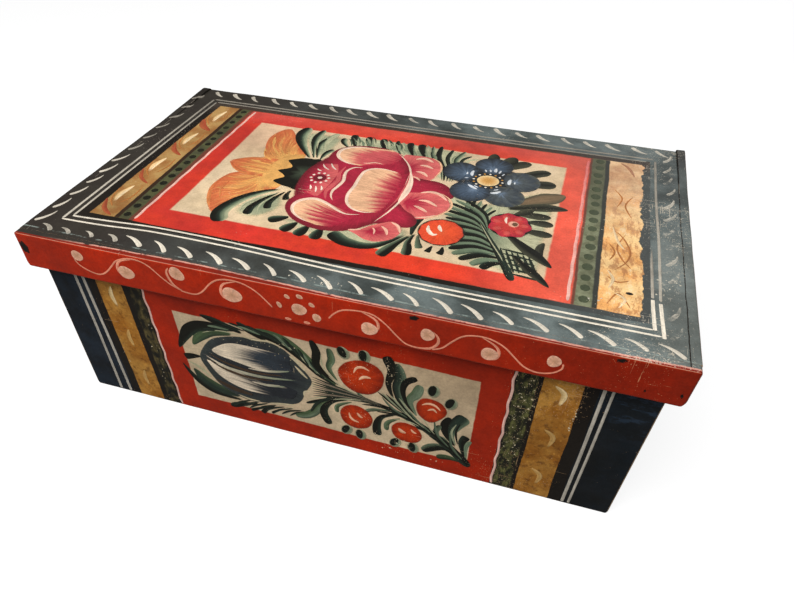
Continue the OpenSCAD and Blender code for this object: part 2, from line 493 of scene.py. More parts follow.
def lid_rise(x, y):
    """How far the lid's top stands above its board at a place: only on the battens, towards the back."""
    slope = 1.5
    climb = min(1.0, max(0.0, 1 + (abs(x) + BATTEN_HIGH.x / MM) / slope))
    share = (y - BATTEN_HIGH.y / MM + HEEL_RUN) / (HEEL_RUN - HEEL_ROUND)
    return climb * (BATTEN_HIGH.z - LID_TOP) / MM * min(1.0, max(0.0, share))


def lid_canvas(seed):
    """Drawing on the lid's top: across is +X, up is +Y."""
    return Canvas((0, 0, LID_TOP), (1, 0, 0), (0, 1, 0), seed)


def front_canvas(seed):
    """Drawing on the front board: across is +X, up is +Z."""
    return Canvas((0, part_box("front_board")[0].y, 0), (1, 0, 0), (0, 0, 1), seed)


def rail_canvas(seed):
    """Drawing on the front rail: across is +X, up is +Z."""
    return Canvas((0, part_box("lid_front_rail")[0].y, 0), (1, 0, 0), (0, 0, 1), seed)


# Shader building

class Graph:
    """Short ways to add nodes to a tree. A value given is a socket to link or a plain number or colour."""

    def __init__(self, tree):
        self.tree = tree
        self.coordinates = None

    def node(self, kind, **settings):
        made = self.tree.nodes.new(kind)
        for key, value in settings.items():
            setattr(made, key, value)
        return made

    def put(self, socket, value):
        if isinstance(value, bpy.types.NodeSocket):
            self.tree.links.new(value, socket)
        elif socket.type == "RGBA":
            socket.default_value = (*value[:3], 1.0)
        else:
            socket.default_value = value

    def fill(self, made, **values):
        """Puts values into a node's inputs by their labels and returns the node's outputs."""
        for key, value in values.items():
            self.put(made.inputs[key.replace("_", " ")], value)
        return made.outputs

    def math(self, operation, first, second=0.0):
        made = self.node("ShaderNodeMath", operation=operation)
        self.put(made.inputs[0], first)
        self.put(made.inputs[1], second)
        return made.outputs[0]

    def plus(self, first, second):
        return self.math("ADD", first, second)

    def minus(self, first, second):
        return self.math("SUBTRACT", first, second)

    def times(self, first, second):
        return self.math("MULTIPLY", first, second)

    def mix(self, share, first, second, mode="MIX"):
        made = self.node("ShaderNodeMix", data_type="RGBA", blend_type=mode)
        self.put(made.inputs[0], share)
        self.put(made.inputs[6], first)
        self.put(made.inputs[7], second)
        return made.outputs[2]

    def glaze(self, mask, strength, under, over):
        """Lays one tone over another where a mask is, no more strongly than asked."""
        return self.mix(self.times(mask, strength), under, over)

    def step(self, value, low, high):
        """0 below low and 1 above high, smoothly; high may be the lower of the two."""
        made = self.node("ShaderNodeMapRange", interpolation_type="SMOOTHSTEP")
        turned = low > high
        ends = {"To Min": float(turned), "To Max": float(not turned)}
        return self.fill(
            made, Value=value, From_Min=min(low, high), From_Max=max(low, high), **ends)["Result"]

    def place(self):
        if self.coordinates is None:
            self.coordinates = self.node("ShaderNodeTexCoord").outputs["Object"]
        return self.coordinates

    def noise(self, scale, detail=2.0, roughness=0.5, stretch=None):
        """Noise from 0 to 1 on the object's own coordinates, finer along the axes with a larger stretch."""
        source = self.place()
        if stretch:
            source = self.fill(self.node("ShaderNodeMapping"), Scale=stretch, Vector=source)["Vector"]
        made = self.node("ShaderNodeTexNoise")
        return self.fill(made, Scale=scale, Detail=detail, Roughness=roughness, Vector=source)["Fac"]

    def millimetres(self):
        """The three coordinates in millimetres."""
        parts = self.fill(self.node("ShaderNodeSeparateXYZ"), Vector=self.place())
        return [self.times(part, 1 / MM) for part in parts]

    def group(self, tree, **values):
        return self.fill(self.node("ShaderNodeGroup", node_tree=tree), **values)

    def band(self, value, low, high, soft=0.25):
        """1 between low and high."""
        tree = named_group("Painted band", build_band)
        return self.group(tree, Place=value, Low=low, High=high, Soft=soft)["Mask"]


def named_group(name, build):
    """A shader node group that is built the first time it is asked for."""
    tree = bpy.data.node_groups.get(name)
    if tree is None:
        tree = bpy.data.node_groups.new(name, "ShaderNodeTree")
        build(tree)
    return tree


def group_ends(tree, inputs, outputs):
    """Makes a group's sockets and returns its input and output nodes."""
    kinds = {"value": "NodeSocketFloat", "colour": "NodeSocketColor", "vector": "NodeSocketVector"}
    for label, (kind, default) in inputs.items():
        socket = tree.interface.new_socket(name=label, in_out="INPUT", socket_type=kinds[kind])
        socket.default_value = default
    for label, kind in outputs.items():
        tree.interface.new_socket(name=label, in_out="OUTPUT", socket_type=kinds[kind])
    return tree.nodes.new("NodeGroupInput").outputs, tree.nodes.new("NodeGroupOutput").inputs


def build_band(tree):
    """A mask between two places, with soft hand-painted sides."""
    given, wanted = group_ends(
        tree,
        {"Place": ("value", 0.0), "Low": ("value", 0.0), "High": ("value", 1.0), "Soft": ("value", 0.25)},
        {"Mask": "value"})
    g = Graph(tree)
    rise = g.math("DIVIDE", g.minus(given["Place"], given["Low"]), given["Soft"])
    fall = g.math("DIVIDE", g.minus(given["High"], given["Place"]), given["Soft"])
    g.put(wanted["Mask"], g.step(g.math("MINIMUM", rise, fall), -0.5, 0.5))


def build_worn_paint(tree):
    """Old oil paint: uneven colour, grime, chips, scratches and a rubbed edge."""
    given, wanted = group_ends(
        tree,
        {"Paint": ("colour", (1, 1, 1, 1)), "Beneath": ("colour", (0.7, 0.55, 0.4, 1)),
         "Chips": ("value", 0.3), "Edge": ("value", FAR_FROM_EDGE), "Rubbed": ("value", 0.5),
         "Grime": ("value", 0.25)}, {"Color": "colour", "Roughness": "value", "Height": "value"})
    g = Graph(tree)
    patches = g.noise(24, 4, 0.6)
    flakes = g.noise(330, 5, 0.72)
    grain = g.noise(1000, 3, 0.6)
    marks = g.noise(60, 3, 0.6, (1, 12, 12))
    ragged = g.noise(140, 4, 0.65)
    uneven = g.times(g.minus(patches, 0.5), 0.5)
    wear = g.plus(uneven, g.times(given["Chips"], 0.2))
    bare = g.step(g.plus(flakes, wear), 0.85, 0.89)
    specks = g.step(g.plus(g.noise(1500, 2, 0.5), wear), 0.8, 0.84)
    along = g.step(g.plus(g.noise(120, 2, 0.5, (0.35, 14, 14)), wear), 0.84, 0.87)
    across = g.step(g.plus(g.noise(120, 2, 0.5, (14, 0.5, 0.5)), wear), 0.85, 0.88)
    scratched = g.math("MAXIMUM", along, across)
    bare = g.math("MAXIMUM", bare, g.times(g.math("MAXIMUM", specks, scratched), 0.6))
    reach = g.times(given["Rubbed"], g.times(ragged, 2.0))
    rubbed = g.times(g.step(g.minus(reach, given["Edge"]), -0.15, 0.2), 0.6)
    lost = g.math("MAXIMUM", bare, rubbed)
    dull = g.times(given["Grime"], g.step(patches, 0.75, 0.3))
    aged = g.mix(dull, given["Paint"], (0.022, 0.018, 0.013))
    shade = g.plus(g.times(grain, 0.5), g.times(ragged, 0.5))
    light = g.mix(g.step(shade, 0.3, 0.7), (0.78,) * 3, (1.14,) * 3)
    patina = g.mix(1.0, aged, light, "MULTIPLY")
    g.put(wanted["Color"], g.mix(lost, patina, given["Beneath"]))
    gloss = g.plus(g.times(patches, 0.2), 0.36)
    g.put(wanted["Roughness"], g.plus(gloss, g.times(lost, 0.25)))
    relief = g.plus(g.times(marks, 0.35), g.times(flakes, 0.3))
    g.put(wanted["Height"], g.minus(relief, lost))


def build_brushed(tree):
    """Paint laid with a bristle brush: streaked along the stroke, ragged at its sides and its dry end."""
    given, wanted = group_ends(
        tree,
        {"Paint": ("colour", (1, 1, 1, 1)), "Cover": ("value", 1.0), "Bristle": ("vector", (0, 0, 0)),
         "Fade": ("value", 0.0)}, {"Color": "colour", "Alpha": "value"})
    g = Graph(tree)
    thin = g.times(given["Fade"], g.step(g.noise(260, 4, 0.7), 0.25, 0.6))
    g.coordinates = given["Bristle"]
    streaks = g.noise(1, 3, 0.6, (0.12, 1.5, 1))
    hairs = g.noise(1, 2, 0.5, (0.25, 4, 1))
    light = g.mix(g.step(streaks, 0.32, 0.68), (0.82,) * 3, (1.12,) * 3)
    g.put(wanted["Color"], g.mix(1.0, given["Paint"], light, "MULTIPLY"))
    ragged = g.times(g.plus(streaks, hairs), 0.3)
    whole = g.step(g.minus(given["Cover"], ragged), 0.0, 0.35)
    left = g.minus(1.0, g.math("MINIMUM", thin, 1.0))
    g.put(wanted["Alpha"], g.times(whole, left))


def build_bare_wood(tree):
    """Sawn and planed softwood, darkened by age. Grain runs along the first axis of Way."""
    given, wanted = group_ends(
        tree, {"Way": ("vector", (0, 0, 0)), "Tone": ("colour", (0.4, 0.25, 0.12, 1))},
        {"Color": "colour", "Roughness": "value", "Height": "value"})
    g = Graph(tree)
    g.coordinates = given["Way"]
    rings = g.noise(9, 1.5, 0.5, (0.28, 7, 7))
    wave = g.math("ABSOLUTE", g.math("SINE", g.times(rings, 60.0)))
    fibres = g.noise(60, 3, 0.65, (0.22, 24, 24))
    stains = g.noise(14, 4, 0.6)
    dark = g.mix(0.5, given["Tone"], (0.08, 0.04, 0.016))
    pale = g.mix(0.22, given["Tone"], (0.9, 0.75, 0.5))
    grain = g.mix(g.times(g.step(wave, 0.15, 0.9), 0.75), dark, pale)
    fine = g.mix(g.times(g.step(fibres, 0.62, 0.4), 0.35), grain, dark)
    g.put(wanted["Color"], g.mix(g.times(g.step(stains, 0.52, 0.72), 0.45), fine, (0.07, 0.045, 0.025)))
    g.put(wanted["Roughness"], g.plus(g.times(fibres, 0.2), 0.58))
    g.put(wanted["Height"], g.plus(fibres, g.times(wave, 0.3)))


def new_material(name):
    """A material with its graph and its surface shader."""
    made = bpy.data.materials.new(name)
    made.use_nodes = True
    shader = made.node_tree.nodes["Principled BSDF"]
    return made, Graph(made.node_tree), shader


def finish_surface(g, shader, effect, bump, distance):
    """Feeds an effect's colour, roughness and height to the surface shader."""
    relief = g.fill(
        g.node("ShaderNodeBump"), Strength=bump, Distance=distance * MM, Height=effect["Height"])
    g.fill(
        shader, Specular_IOR_Level=PAINT_SHEEN, Base_Color=effect["Color"], Roughness=effect["Roughness"])
    g.fill(shader, Normal=relief["Normal"])


def worn_paint(name, ground, beneath, chips, rubbed, grime=0.3):
    """A painted board. Ground builds the paint's colour and its extra wear from the graph."""
    made, g, shader = new_material(name)
    edge = g.node("ShaderNodeAttribute", attribute_name="edge_mm").outputs["Fac"]
    tree = named_group("Worn paint", build_worn_paint)
    paint, wear = ground(g)
    effect = g.group(
        tree, Paint=paint, Beneath=beneath, Chips=g.plus(wear, chips), Edge=edge, Rubbed=rubbed,
        Grime=grime)
    finish_surface(g, shader, effect, 0.25, 0.2)
    return made


def stroke_paint(name, beneath, chips, grime=0.2):
    """Brush strokes, with their colour, cover, bristles and fading in attributes."""
    made, g, shader = new_material(name)
    given = {}
    for key, output in (("Paint", "Color"), ("Cover", "Fac"), ("Bristle", "Vector"), ("Fade", "Fac")):
        given[key] = g.node("ShaderNodeAttribute", attribute_name=key.lower()).outputs[output]
    brushed = g.group(named_group("Brushed paint", build_brushed), **given)
    g.put(shader.inputs["Alpha"], brushed["Alpha"])
    tree = named_group("Worn paint", build_worn_paint)
    effect = g.group(tree, Paint=brushed["Color"], Beneath=beneath, Chips=chips, Grime=grime)
    finish_surface(g, shader, effect, 0.2, 0.15)
    return made


def bare_wood(name, turn):
    """Bare board whose grain runs along X, turned by the given angles."""
    made, g, shader = new_material(name)
    way = g.fill(g.node("ShaderNodeMapping"), Rotation=turn, Vector=g.place())["Vector"]
    effect = g.group(named_group("Bare wood", build_bare_wood), Way=way, Tone=colours().wood)
    finish_surface(g, shader, effect, 0.4, 0.3)
    return made


def old_iron(name):
    """Dark nail iron with rust."""
    made, g, shader = new_material(name)
    rust = g.noise(700, 4, 0.65)
    tone = g.mix(g.step(rust, 0.4, 0.65), colours().iron, srgb(112, 62, 36))
    rough = g.plus(g.times(rust, 0.4), 0.35)
    g.fill(shader, Base_Color=tone, Roughness=rough, Metallic=g.step(rust, 0.6, 0.45))
    return made


def material(name, build, *given):
    """A material that is built the first time it is asked for."""
    return bpy.data.materials.get(name) or build(name, *given)


def woods():
    """Bare wood with its grain along the box, and across it."""
    across = (0, 0, math.radians(90))
    return material("wood_lengthwise", bare_wood, (0, 0, 0)), material("wood_crosswise", bare_wood, across)


# Painted grounds, in millimetres on the faces

def wobbled(g, value):
    """A place with the unsteadiness of a hand-drawn side."""
    slow = g.times(g.minus(g.noise(28, 2), 0.5), 2.2 * HAND_WOBBLE)
    quick = g.times(g.minus(g.noise(240, 3), 0.5), 0.9 * HAND_WOBBLE)
    return g.plus(value, g.plus(slow, quick))


def mottled(g, first, second, scale, detail=4.0):
    """Two tones laid unevenly."""
    return g.mix(g.step(g.noise(scale, detail, 0.6), 0.35, 0.65), first, second)


def frame_distance(g, x, y, centre, half):
    """Distance outside a rectangle, negative inside it."""
    aside = g.minus(g.math("ABSOLUTE", g.minus(x, centre[0])), half[0])
    along = g.minus(g.math("ABSOLUTE", g.minus(y, centre[1])), half[1])
    return g.math("MAXIMUM", aside, along)


def lid_border(g, x, y):
    """Slate border with dark heels and a patchy pale line along the joint to the rail, and the black band
    inside it. Both turn lighter towards the right, partly as painted sheen.
    """
    c = colours()
    # Painted sheen: the border turns from a warm dark grey at the left to a lighter, bluer grey at the
    # right, partly its own paint tone.
    warm = mottled(g, c.slate, srgb(48, 42, 38), 26)
    cold = mottled(g, srgb(106, 116, 114), srgb(64, 72, 70), 40)
    border = g.mix(g.step(x, -140, 70), warm, cold)
    end = g.mix(g.step(y, -30, 20), srgb(150, 154, 146), srgb(40, 46, 46))
    border = g.glaze(g.step(x, 148, 156), 0.25, border, end)
    heel = g.times(g.step(g.math("ABSOLUTE", x), 164.8, 165.2), g.step(y, 55, 95))
    border = g.glaze(heel, 0.7, border, c.black)
    # A patchy pale grey line along the joint to the rail.
    joint = g.plus(y, g.plus(g.times(x, 0.0074), 99.8))
    pale_joint_line = g.times(g.band(joint, -0.5, 0.5), g.step(g.noise(160, 4, 0.7), 0.45, 0.6))
    border = g.glaze(pale_joint_line, 0.6, border, srgb(150, 162, 154))
    border = g.mix(g.step(g.math("ABSOLUTE", g.minus(x, 165.0)), 0.4, 0.1), border, c.black)
    inside = frame_distance(g, x, y, (0, 1), (149.5, 82))
    # Painted sheen: the black band turns lighter grey towards the right.
    band = g.mix(g.step(x, 60, 140), c.black, srgb(70, 74, 72))
    return g.mix(g.band(inside, -400, -0.4), border, g.mix(g.step(y, 60, 80), band, srgb(64, 54, 46)))


def lid_strips(g, tone, x, y):
    """Ochre and moss strips at the lid's two ends, torn and worn at the right."""
    c = colours()
    torn = g.times(g.minus(g.noise(75, 3, 0.6), 0.4), g.step(x, 136, 142))
    strips = frame_distance(g, g.minus(x, g.times(torn, 10.0)), y, (0.1, 0), (143.7, 76.8))
    within = g.step(strips, 0.3, -0.3)
    right_half = g.step(x, -1, 1)
    dark = mottled(g, srgb(184, 146, 88), srgb(150, 100, 52), 70)
    light = mottled(g, srgb(255, 212, 146), srgb(240, 172, 98), 60)
    curls = g.noise(190, 5, 0.75, (1.6, 0.6, 1))
    light = g.glaze(g.step(curls, 0.5, 0.6), 0.75, light, srgb(184, 122, 74))
    light = g.glaze(g.step(curls, 0.44, 0.36), 0.6, light, srgb(250, 224, 178))
    worn = g.times(g.step(x, 60, 120), g.step(y, -30, 60))
    faded = mottled(g, srgb(224, 186, 146), srgb(196, 148, 112), 90)
    tone = g.mix(within, tone, g.glaze(worn, 0.8, g.mix(right_half, dark, light), faded))
    brown = g.mix(right_half, srgb(52, 34, 22), srgb(52, 54, 48))
    left_moss = mottled(g, c.moss, srgb(70, 70, 50), 120)
    soiled = g.mix(g.step(y, -20, 50), srgb(134, 138, 108), srgb(84, 84, 62))
    right_moss = mottled(g, soiled, srgb(98, 100, 74), 120)
    for low, high, soft, paint in (
        (-128.5, 126.0, 0.6, brown), (-120, 116, 0.8, srgb(112, 60, 46)), (-125.8, -119.4, 0.8, left_moss),
        (115.6, 123.6, 0.8, right_moss)
    ):
        tone = g.mix(g.times(g.band(x, low, high, soft), within), tone, paint)
    return tone


def lid_panel(g, tone, x, y):
    """Red frame and cream panel."""
    c = colours()
    red = mottled(g, c.red, srgb(206, 52, 40), 30)
    # The red goes from darker at the left to lighter at the right and paler at the back: partly its own
    # unevenness and wear, partly painted sheen.
    red = g.glaze(g.step(x, -20, -120), 0.3, red, srgb(176, 40, 40))
    red = g.glaze(g.step(x, 50, 115), 0.55, red, srgb(246, 112, 86))
    red = g.glaze(g.step(y, 50, 78), 0.4, red, srgb(196, 98, 88))
    tone = g.mix(g.step(frame_distance(g, x, y, (-1.2, -0.4), (115.4, 76.5)), 0.5, -0.5), tone, red)
    panel = frame_distance(g, x, g.plus(y, g.times(x, 0.012)), (-1.2, -1.1), (102, 60.7))
    cream = mottled(g, c.cream, srgb(216, 190, 152), 34)
    flushed = g.times(g.step(x, -50, -90), g.step(y, 0, 40))
    cream = g.glaze(flushed, 0.6, cream, srgb(216, 172, 138))
    return g.mix(g.step(panel, 0.5, -0.9), tone, cream)


def lid_ground(g):
    """The lid's fields of colour from its border to its panel, and its extra wear at the right."""
    x, y, _ = g.millimetres()
    x = wobbled(g, x)
    y = wobbled(g, y)
    tone = lid_border(g, x, y)
    tone = lid_strips(g, tone, x, y)
    tone = lid_panel(g, tone, x, y)
    return shaded_red_over_edge(g, tone, x, y), g.times(g.step(x, 100, 165), 0.45)


def shaded_red_over_edge(g, tone, x, y):
    """The rail's red where it comes over its top edge, most at left of the middle, with a pale side. The
    red is darkened to the front's shaded tone as painted shade.
    """
    spread = g.math("DIVIDE", g.plus(x, 72.0), 52.0)
    swell = g.math("EXPONENT", g.times(g.times(spread, spread), -1.0))
    past = g.minus(g.plus(y, 105.3), g.times(swell, 2.4))
    # Painted shade: a darker red than the lid's own, matching the shaded front.
    tone = g.mix(g.step(past, 0.25, -0.25), tone, srgb(132, 30, 12))
    pale = g.times(g.band(past, -0.1, 0.9, 0.3), g.step(g.noise(180, 4, 0.7), 0.34, 0.5))
    return g.mix(g.times(pale, g.step(x, -155, -115)), tone, srgb(214, 152, 134))


def front_ends(g, x, z):
    """Navy ends, black band, ochre strips and mottled moss bands of the front."""
    c = colours()
    tone = mottled(g, c.night, srgb(15, 20, 26), 40)
    # Painted shade: the navy darkens towards the right end.
    tone = g.glaze(g.step(x, 100, 150), 0.6, tone, srgb(12, 18, 20))
    scuffs = g.times(g.step(g.noise(120, 4, 0.7, (0.6, 1, 1.6)), 0.5, 0.64), g.step(z, 55, 85))
    tone = g.glaze(g.times(scuffs, g.step(x, 143, 147)), 0.55, tone, srgb(52, 72, 94))
    tone = g.mix(g.band(x, -139.5, 136.5), tone, c.black)
    ochre = mottled(g, c.ochre, srgb(156, 98, 30), 46)
    dirt = g.noise(190, 5, 0.75)
    ochre = g.glaze(g.step(dirt, 0.5, 0.64), 0.7, ochre, srgb(104, 60, 20))
    ochre = g.glaze(g.step(dirt, 0.42, 0.34), 0.6, ochre, srgb(222, 158, 66))
    tone = g.mix(g.band(x, -133.8, -117), tone, ochre)
    tone = g.mix(g.band(x, 111, 129.7), tone, ochre)
    flecked = g.step(g.noise(300, 3, 0.6, (1, 1, 0.5)), 0.4, 0.8)
    tone = g.mix(g.band(x, -113, -105.5, 1.2), tone, g.mix(flecked, srgb(26, 26, 20), srgb(112, 98, 58)))
    tone = g.mix(g.band(x, 99, 108.6, 1.2), tone, g.mix(flecked, srgb(28, 30, 22), srgb(124, 124, 70)))
    flaked = g.times(g.band(x, 98.5, 110.5, 1.2), g.step(g.noise(420, 4, 0.7), 0.62, 0.66))
    return g.mix(g.times(flaked, g.step(z, 20, 60)), tone, srgb(214, 196, 156))


def front_ground(g):
    """The front's fields of colour, leaning a little, and its extra wear on the right moss band."""
    c = colours()
    x, _, z = g.millimetres()
    drop = g.minus(92.0, z)
    lean = g.mix(g.step(x, -1, 1), (0.035,) * 3, (0.012,) * 3)
    x = wobbled(g, g.minus(x, g.times(drop, lean)))
    z = wobbled(g, z)
    tone = front_ends(g, x, z)
    red = mottled(g, c.front_red_with_shade, srgb(168, 36, 8), 30)
    # Painted shade: the red darkens towards the right.
    red = g.glaze(g.step(x, 20, 100), 0.4, red, srgb(146, 34, 8))
    tone = g.mix(g.band(x, -104, 97), tone, red)
    panel = frame_distance(g, x, g.plus(z, g.times(x, 0.01)), (-3, 46.4), (85.6, 33.2))
    cream = mottled(g, c.cream, srgb(208, 186, 152), 34)
    # Painted shade: the cream darkens towards the upper right, under the lid's overhang.
    cream = g.mix(g.times(g.step(x, -20, 80), g.step(z, 30, 80)), cream, srgb(192, 166, 132))
    tone = g.mix(g.step(panel, 0.3, -0.3), tone, cream)
    return tone, g.times(g.times(g.step(x, 80, 110), g.step(x, 136, 128)), 0.4)


def rail_ground(g):
    """Plain red, darker towards the right as painted shade."""
    x, _, _ = g.millimetres()
    red = mottled(g, colours().front_red_with_shade, srgb(164, 36, 8), 22)
    # Painted shade: the red darkens towards the right end.
    return g.glaze(g.step(x, 20, 170), 0.6, red, srgb(116, 26, 6)), 0.0


def wall_ground(g):
    """Plain navy, rubbed and uneven."""
    return mottled(g, colours().night, srgb(18, 21, 25), 30), 0.0


# For each paint, how its ground is built, the colour beneath it, its chips and its rubbed edges
GROUNDS = {
    "worn_lid_paint": (lid_ground, srgb(216, 202, 180), 0.2, 0.1),
    "worn_front_paint": (front_ground, srgb(196, 160, 118), 0.25, 0.5),
    "worn_rail_paint": (rail_ground, srgb(214, 150, 108), 0.2, 0.15),
    "worn_wall_paint": (wall_ground, srgb(150, 112, 74), 0.35, 0.6),
}


def board_paint(name):
    return material(name, worn_paint, *GROUNDS[name])


# Boards

FACES = ("x0", "x1", "y0", "y1", "z0", "z1")
EDGES = [(a, b, 3 - "xyz".index(a[0]) - "xyz".index(b[0])) for a in FACES for b in FACES if a[0] < b[0]]


def cuts(low, high, cell):
    """Places of the mesh lines across a board, closer together near its two edges."""
    near = [offset for offset in (0.0, 0.3, 0.7, 1.3, 2.2, 3.5) if offset < (high - low) * 0.49]
    inner_low = low + near[-1]
    inner_high = high - near[-1]
    count = max(1, round((inner_high - inner_low) / cell))
    inner = [inner_low + (inner_high - inner_low) * k / count for k in range(1, count)]
    return [low + d for d in near] + inner + [high - d for d in reversed(near)]


class Board:
    """A worn board made from a node's box. Radii are per edge, named by its two faces such as y0z1."""

    joined_round = 0.06
    least_round = 0.1
    least_open = 0.15
    unsteadiness = 0.45

    def __init__(self, node, skins, bare, radii=(), joined=(), cell=None, reshape=None):
        self.node = node
        self.skins = dict(skins)
        self.bare = bare
        self.radii = dict(radii)
        self.joined = set(joined)
        self.cell = cell or sizes().cell
        self.reshape = reshape
        low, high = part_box(node)
        self.low = low / MM
        self.high = high / MM
        self.seed = sum(ord(letter) for letter in node)

    def radius(self, first, second, along):
        """Worn radius of the edge between two faces, at a place along it."""
        if first in self.joined or second in self.joined:
            return self.joined_round
        base = self.radii.get(first + second, sizes().edge_round)
        unsteady = noise.noise(Vector((along * 0.06, self.seed * 0.37, FACES.index(second) * 3.1)))
        return max(self.least_round, base * (1 + self.unsteadiness * unsteady))

    def worn(self, point):
        """A point of the sharp box moved to the worn one, and its distance from the nearest open edge."""
        moved = Vector(point)
        on = [face for face in FACES if self.gap(moved, face) < 1e-4]
        edge = FAR_FROM_EDGE
        for first, second, axis in EDGES:
            reach = self.radius(first, second, moved[axis])
            near = self.gap(moved, first)
            far = self.gap(moved, second)
            if reach > self.least_open:
                edge = min([edge, *(gap for face, gap in ((first, far), (second, near)) if face in on)])
            if near < reach and far < reach:
                aside = 1 - near / reach
                along = 1 - far / reach
                self.push(moved, first, reach * (1 - aside * math.sqrt(1 - along * along / 2)) - near)
                self.push(moved, second, reach * (1 - along * math.sqrt(1 - aside * aside / 2)) - far)
        if self.reshape:
            moved = self.reshape(moved)
        return moved, edge

    def gap(self, point, face):
        """How deep a point lies under a face."""
        axis = "xyz".index(face[0])
        return point[axis] - self.low[axis] if face[1] == "0" else self.high[axis] - point[axis]

    def push(self, point, face, depth):
        """Moves a point inwards from a face."""
        point["xyz".index(face[0])] += depth if face[1] == "0" else -depth

    def mesh(self):
        """The board as one closed mesh."""
        lines = [cuts(self.low[k], self.high[k], self.cell) for k in range(3)]
        last = [len(values) - 1 for values in lines]
        index = {}
        points = []
        edges = []
        quads = []
        kinds = []
        slots = [self.bare]

        def corner(key):
            if key not in index:
                index[key] = len(points)
                moved, edge = self.worn([lines[k][key[k]] for k in range(3)])
                points.append(moved * MM)
                edges.append(edge)
            return index[key]

        for face in FACES:
            skin = self.skins.get(face, self.bare)
            if skin not in slots:
                slots.append(skin)
            axis = "xyz".index(face[0])
            fixed = 0 if face[1] == "0" else last[axis]
            one, two = (axis + 1) % 3, (axis + 2) % 3
            for i in range(last[one]):
                for j in range(last[two]):
                    quad = []
                    for a, b in ((0, 0), (1, 0), (1, 1), (0, 1)):
                        key = [0, 0, 0]
                        key[axis], key[one], key[two] = fixed, i + a, j + b
                        quad.append(corner(tuple(key)))
                    quads.append(quad if face[1] == "1" else quad[::-1])
                    kinds.append(slots.index(skin))
        made = bpy.data.meshes.new("worn_" + self.node)
        made.from_pydata(points, [], quads)
        for skin in slots:
            made.materials.append(skin)
        made.polygons.foreach_set("material_index", kinds)
        edge_mm = made.attributes.new("edge_mm", "FLOAT", "POINT")
        edge_mm.data.foreach_set("value", edges)
        made.shade_smooth()
        return made

    def add(self, body, slot):
        return add_piece("worn_" + self.node, self.mesh(), body, slot, self.node)


class PAINTEDBOX_OT_box_boards(bpy.types.Operator):
    """Makes the five worn boards of the box."""
    bl_idname = "painted_box.box_boards"
    bl_label = "Box Boards"

    def execute(self, context):
        lengthwise, crosswise = woods()
        wall = board_paint("worn_wall_paint")
        front = board_paint("worn_front_paint")
        foot = 2.5
        half_round = 3.4
        Board(
            "front_board", {"y0": front, "x0": wall, "x1": wall}, lengthwise,
            {"x0z0": foot, "x1z0": foot, "y0z1": 0.3}).add("box", "front_paint")
        Board(
            "back_board", {"y1": wall, "x0": wall, "x1": wall}, lengthwise,
            {"x0z0": foot, "x1z0": foot, "y0z1": half_round, "y1z1": half_round}).add("box", "wall_paint")
        Board(
            "left_end_board", {"x0": wall}, crosswise, {"x0z0": foot},
            ("y0", "y1")).add("box", "wall_paint")
        Board(
            "right_end_board", {"x1": wall}, crosswise, {"x1z0": foot},
            ("y0", "y1")).add("box", "wall_paint")
        Board("bottom_board", {}, lengthwise, {}, ("x0", "x1", "y0", "y1")).add("box", "bare_wood")
        return {"FINISHED"}


class PAINTEDBOX_OT_lid_boards(bpy.types.Operator):
    """Makes the lid's board, front rail and two battens."""
    bl_idname = "painted_box.lid_boards"
    bl_label = "Lid Boards"

    def execute(self, context):
        lengthwise, crosswise = woods()
        top = board_paint("worn_lid_paint")
        rail = board_paint("worn_rail_paint")
        Board(
            "lid_board", {"z1": top, "y1": top}, lengthwise, {"y1z1": 0.8},
            ("x0", "x1", "y0")).add("lid", "lid_paint")
        Board(
            "lid_front_rail", {"y0": rail, "z0": rail, "z1": top, "x0": rail, "x1": rail}, lengthwise,
            {"x0z0": 3.0, "x1z0": 3.0, "x0z1": 1.4, "x1z1": 1.4, "x0y0": 1.2, "x1y0": 1.2, "y0z1": 0.9,
             "y0z0": 0.8}, ("y1",), 1.5).add("lid", "rail_paint")
        for node, outer, inner in (("lid_left_batten", "x0", "x1"), ("lid_right_batten", "x1", "x0")):
            Board(
                node, {outer: rail, inner: top, "z0": rail, "z1": top, "y1": top}, crosswise,
                {"y1z0": HEEL_ROUND, "y1z1": HEEL_ROUND, outer + "z1": 0.9, inner + "z1": 0.14}, ("y0",),
                None, self.heel_shape(node)).add("lid", "batten_paint")
        return {"FINISHED"}

    def heel_shape(self, node):
        """Lets a batten's top rise only over its last stretch, as its node does."""
        low, high = (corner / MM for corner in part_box(node))
        full = lid_rise(high.x, high.y) if high.x > 0 else lid_rise(low.x, high.y)

        def reshape(point):
            rise = lid_rise(high.x if high.x > 0 else low.x, point.y)
            point.z -= (full - rise) * (point.z - low.z) / (high.z - low.z)
            return point
        return reshape


# Rows of like things

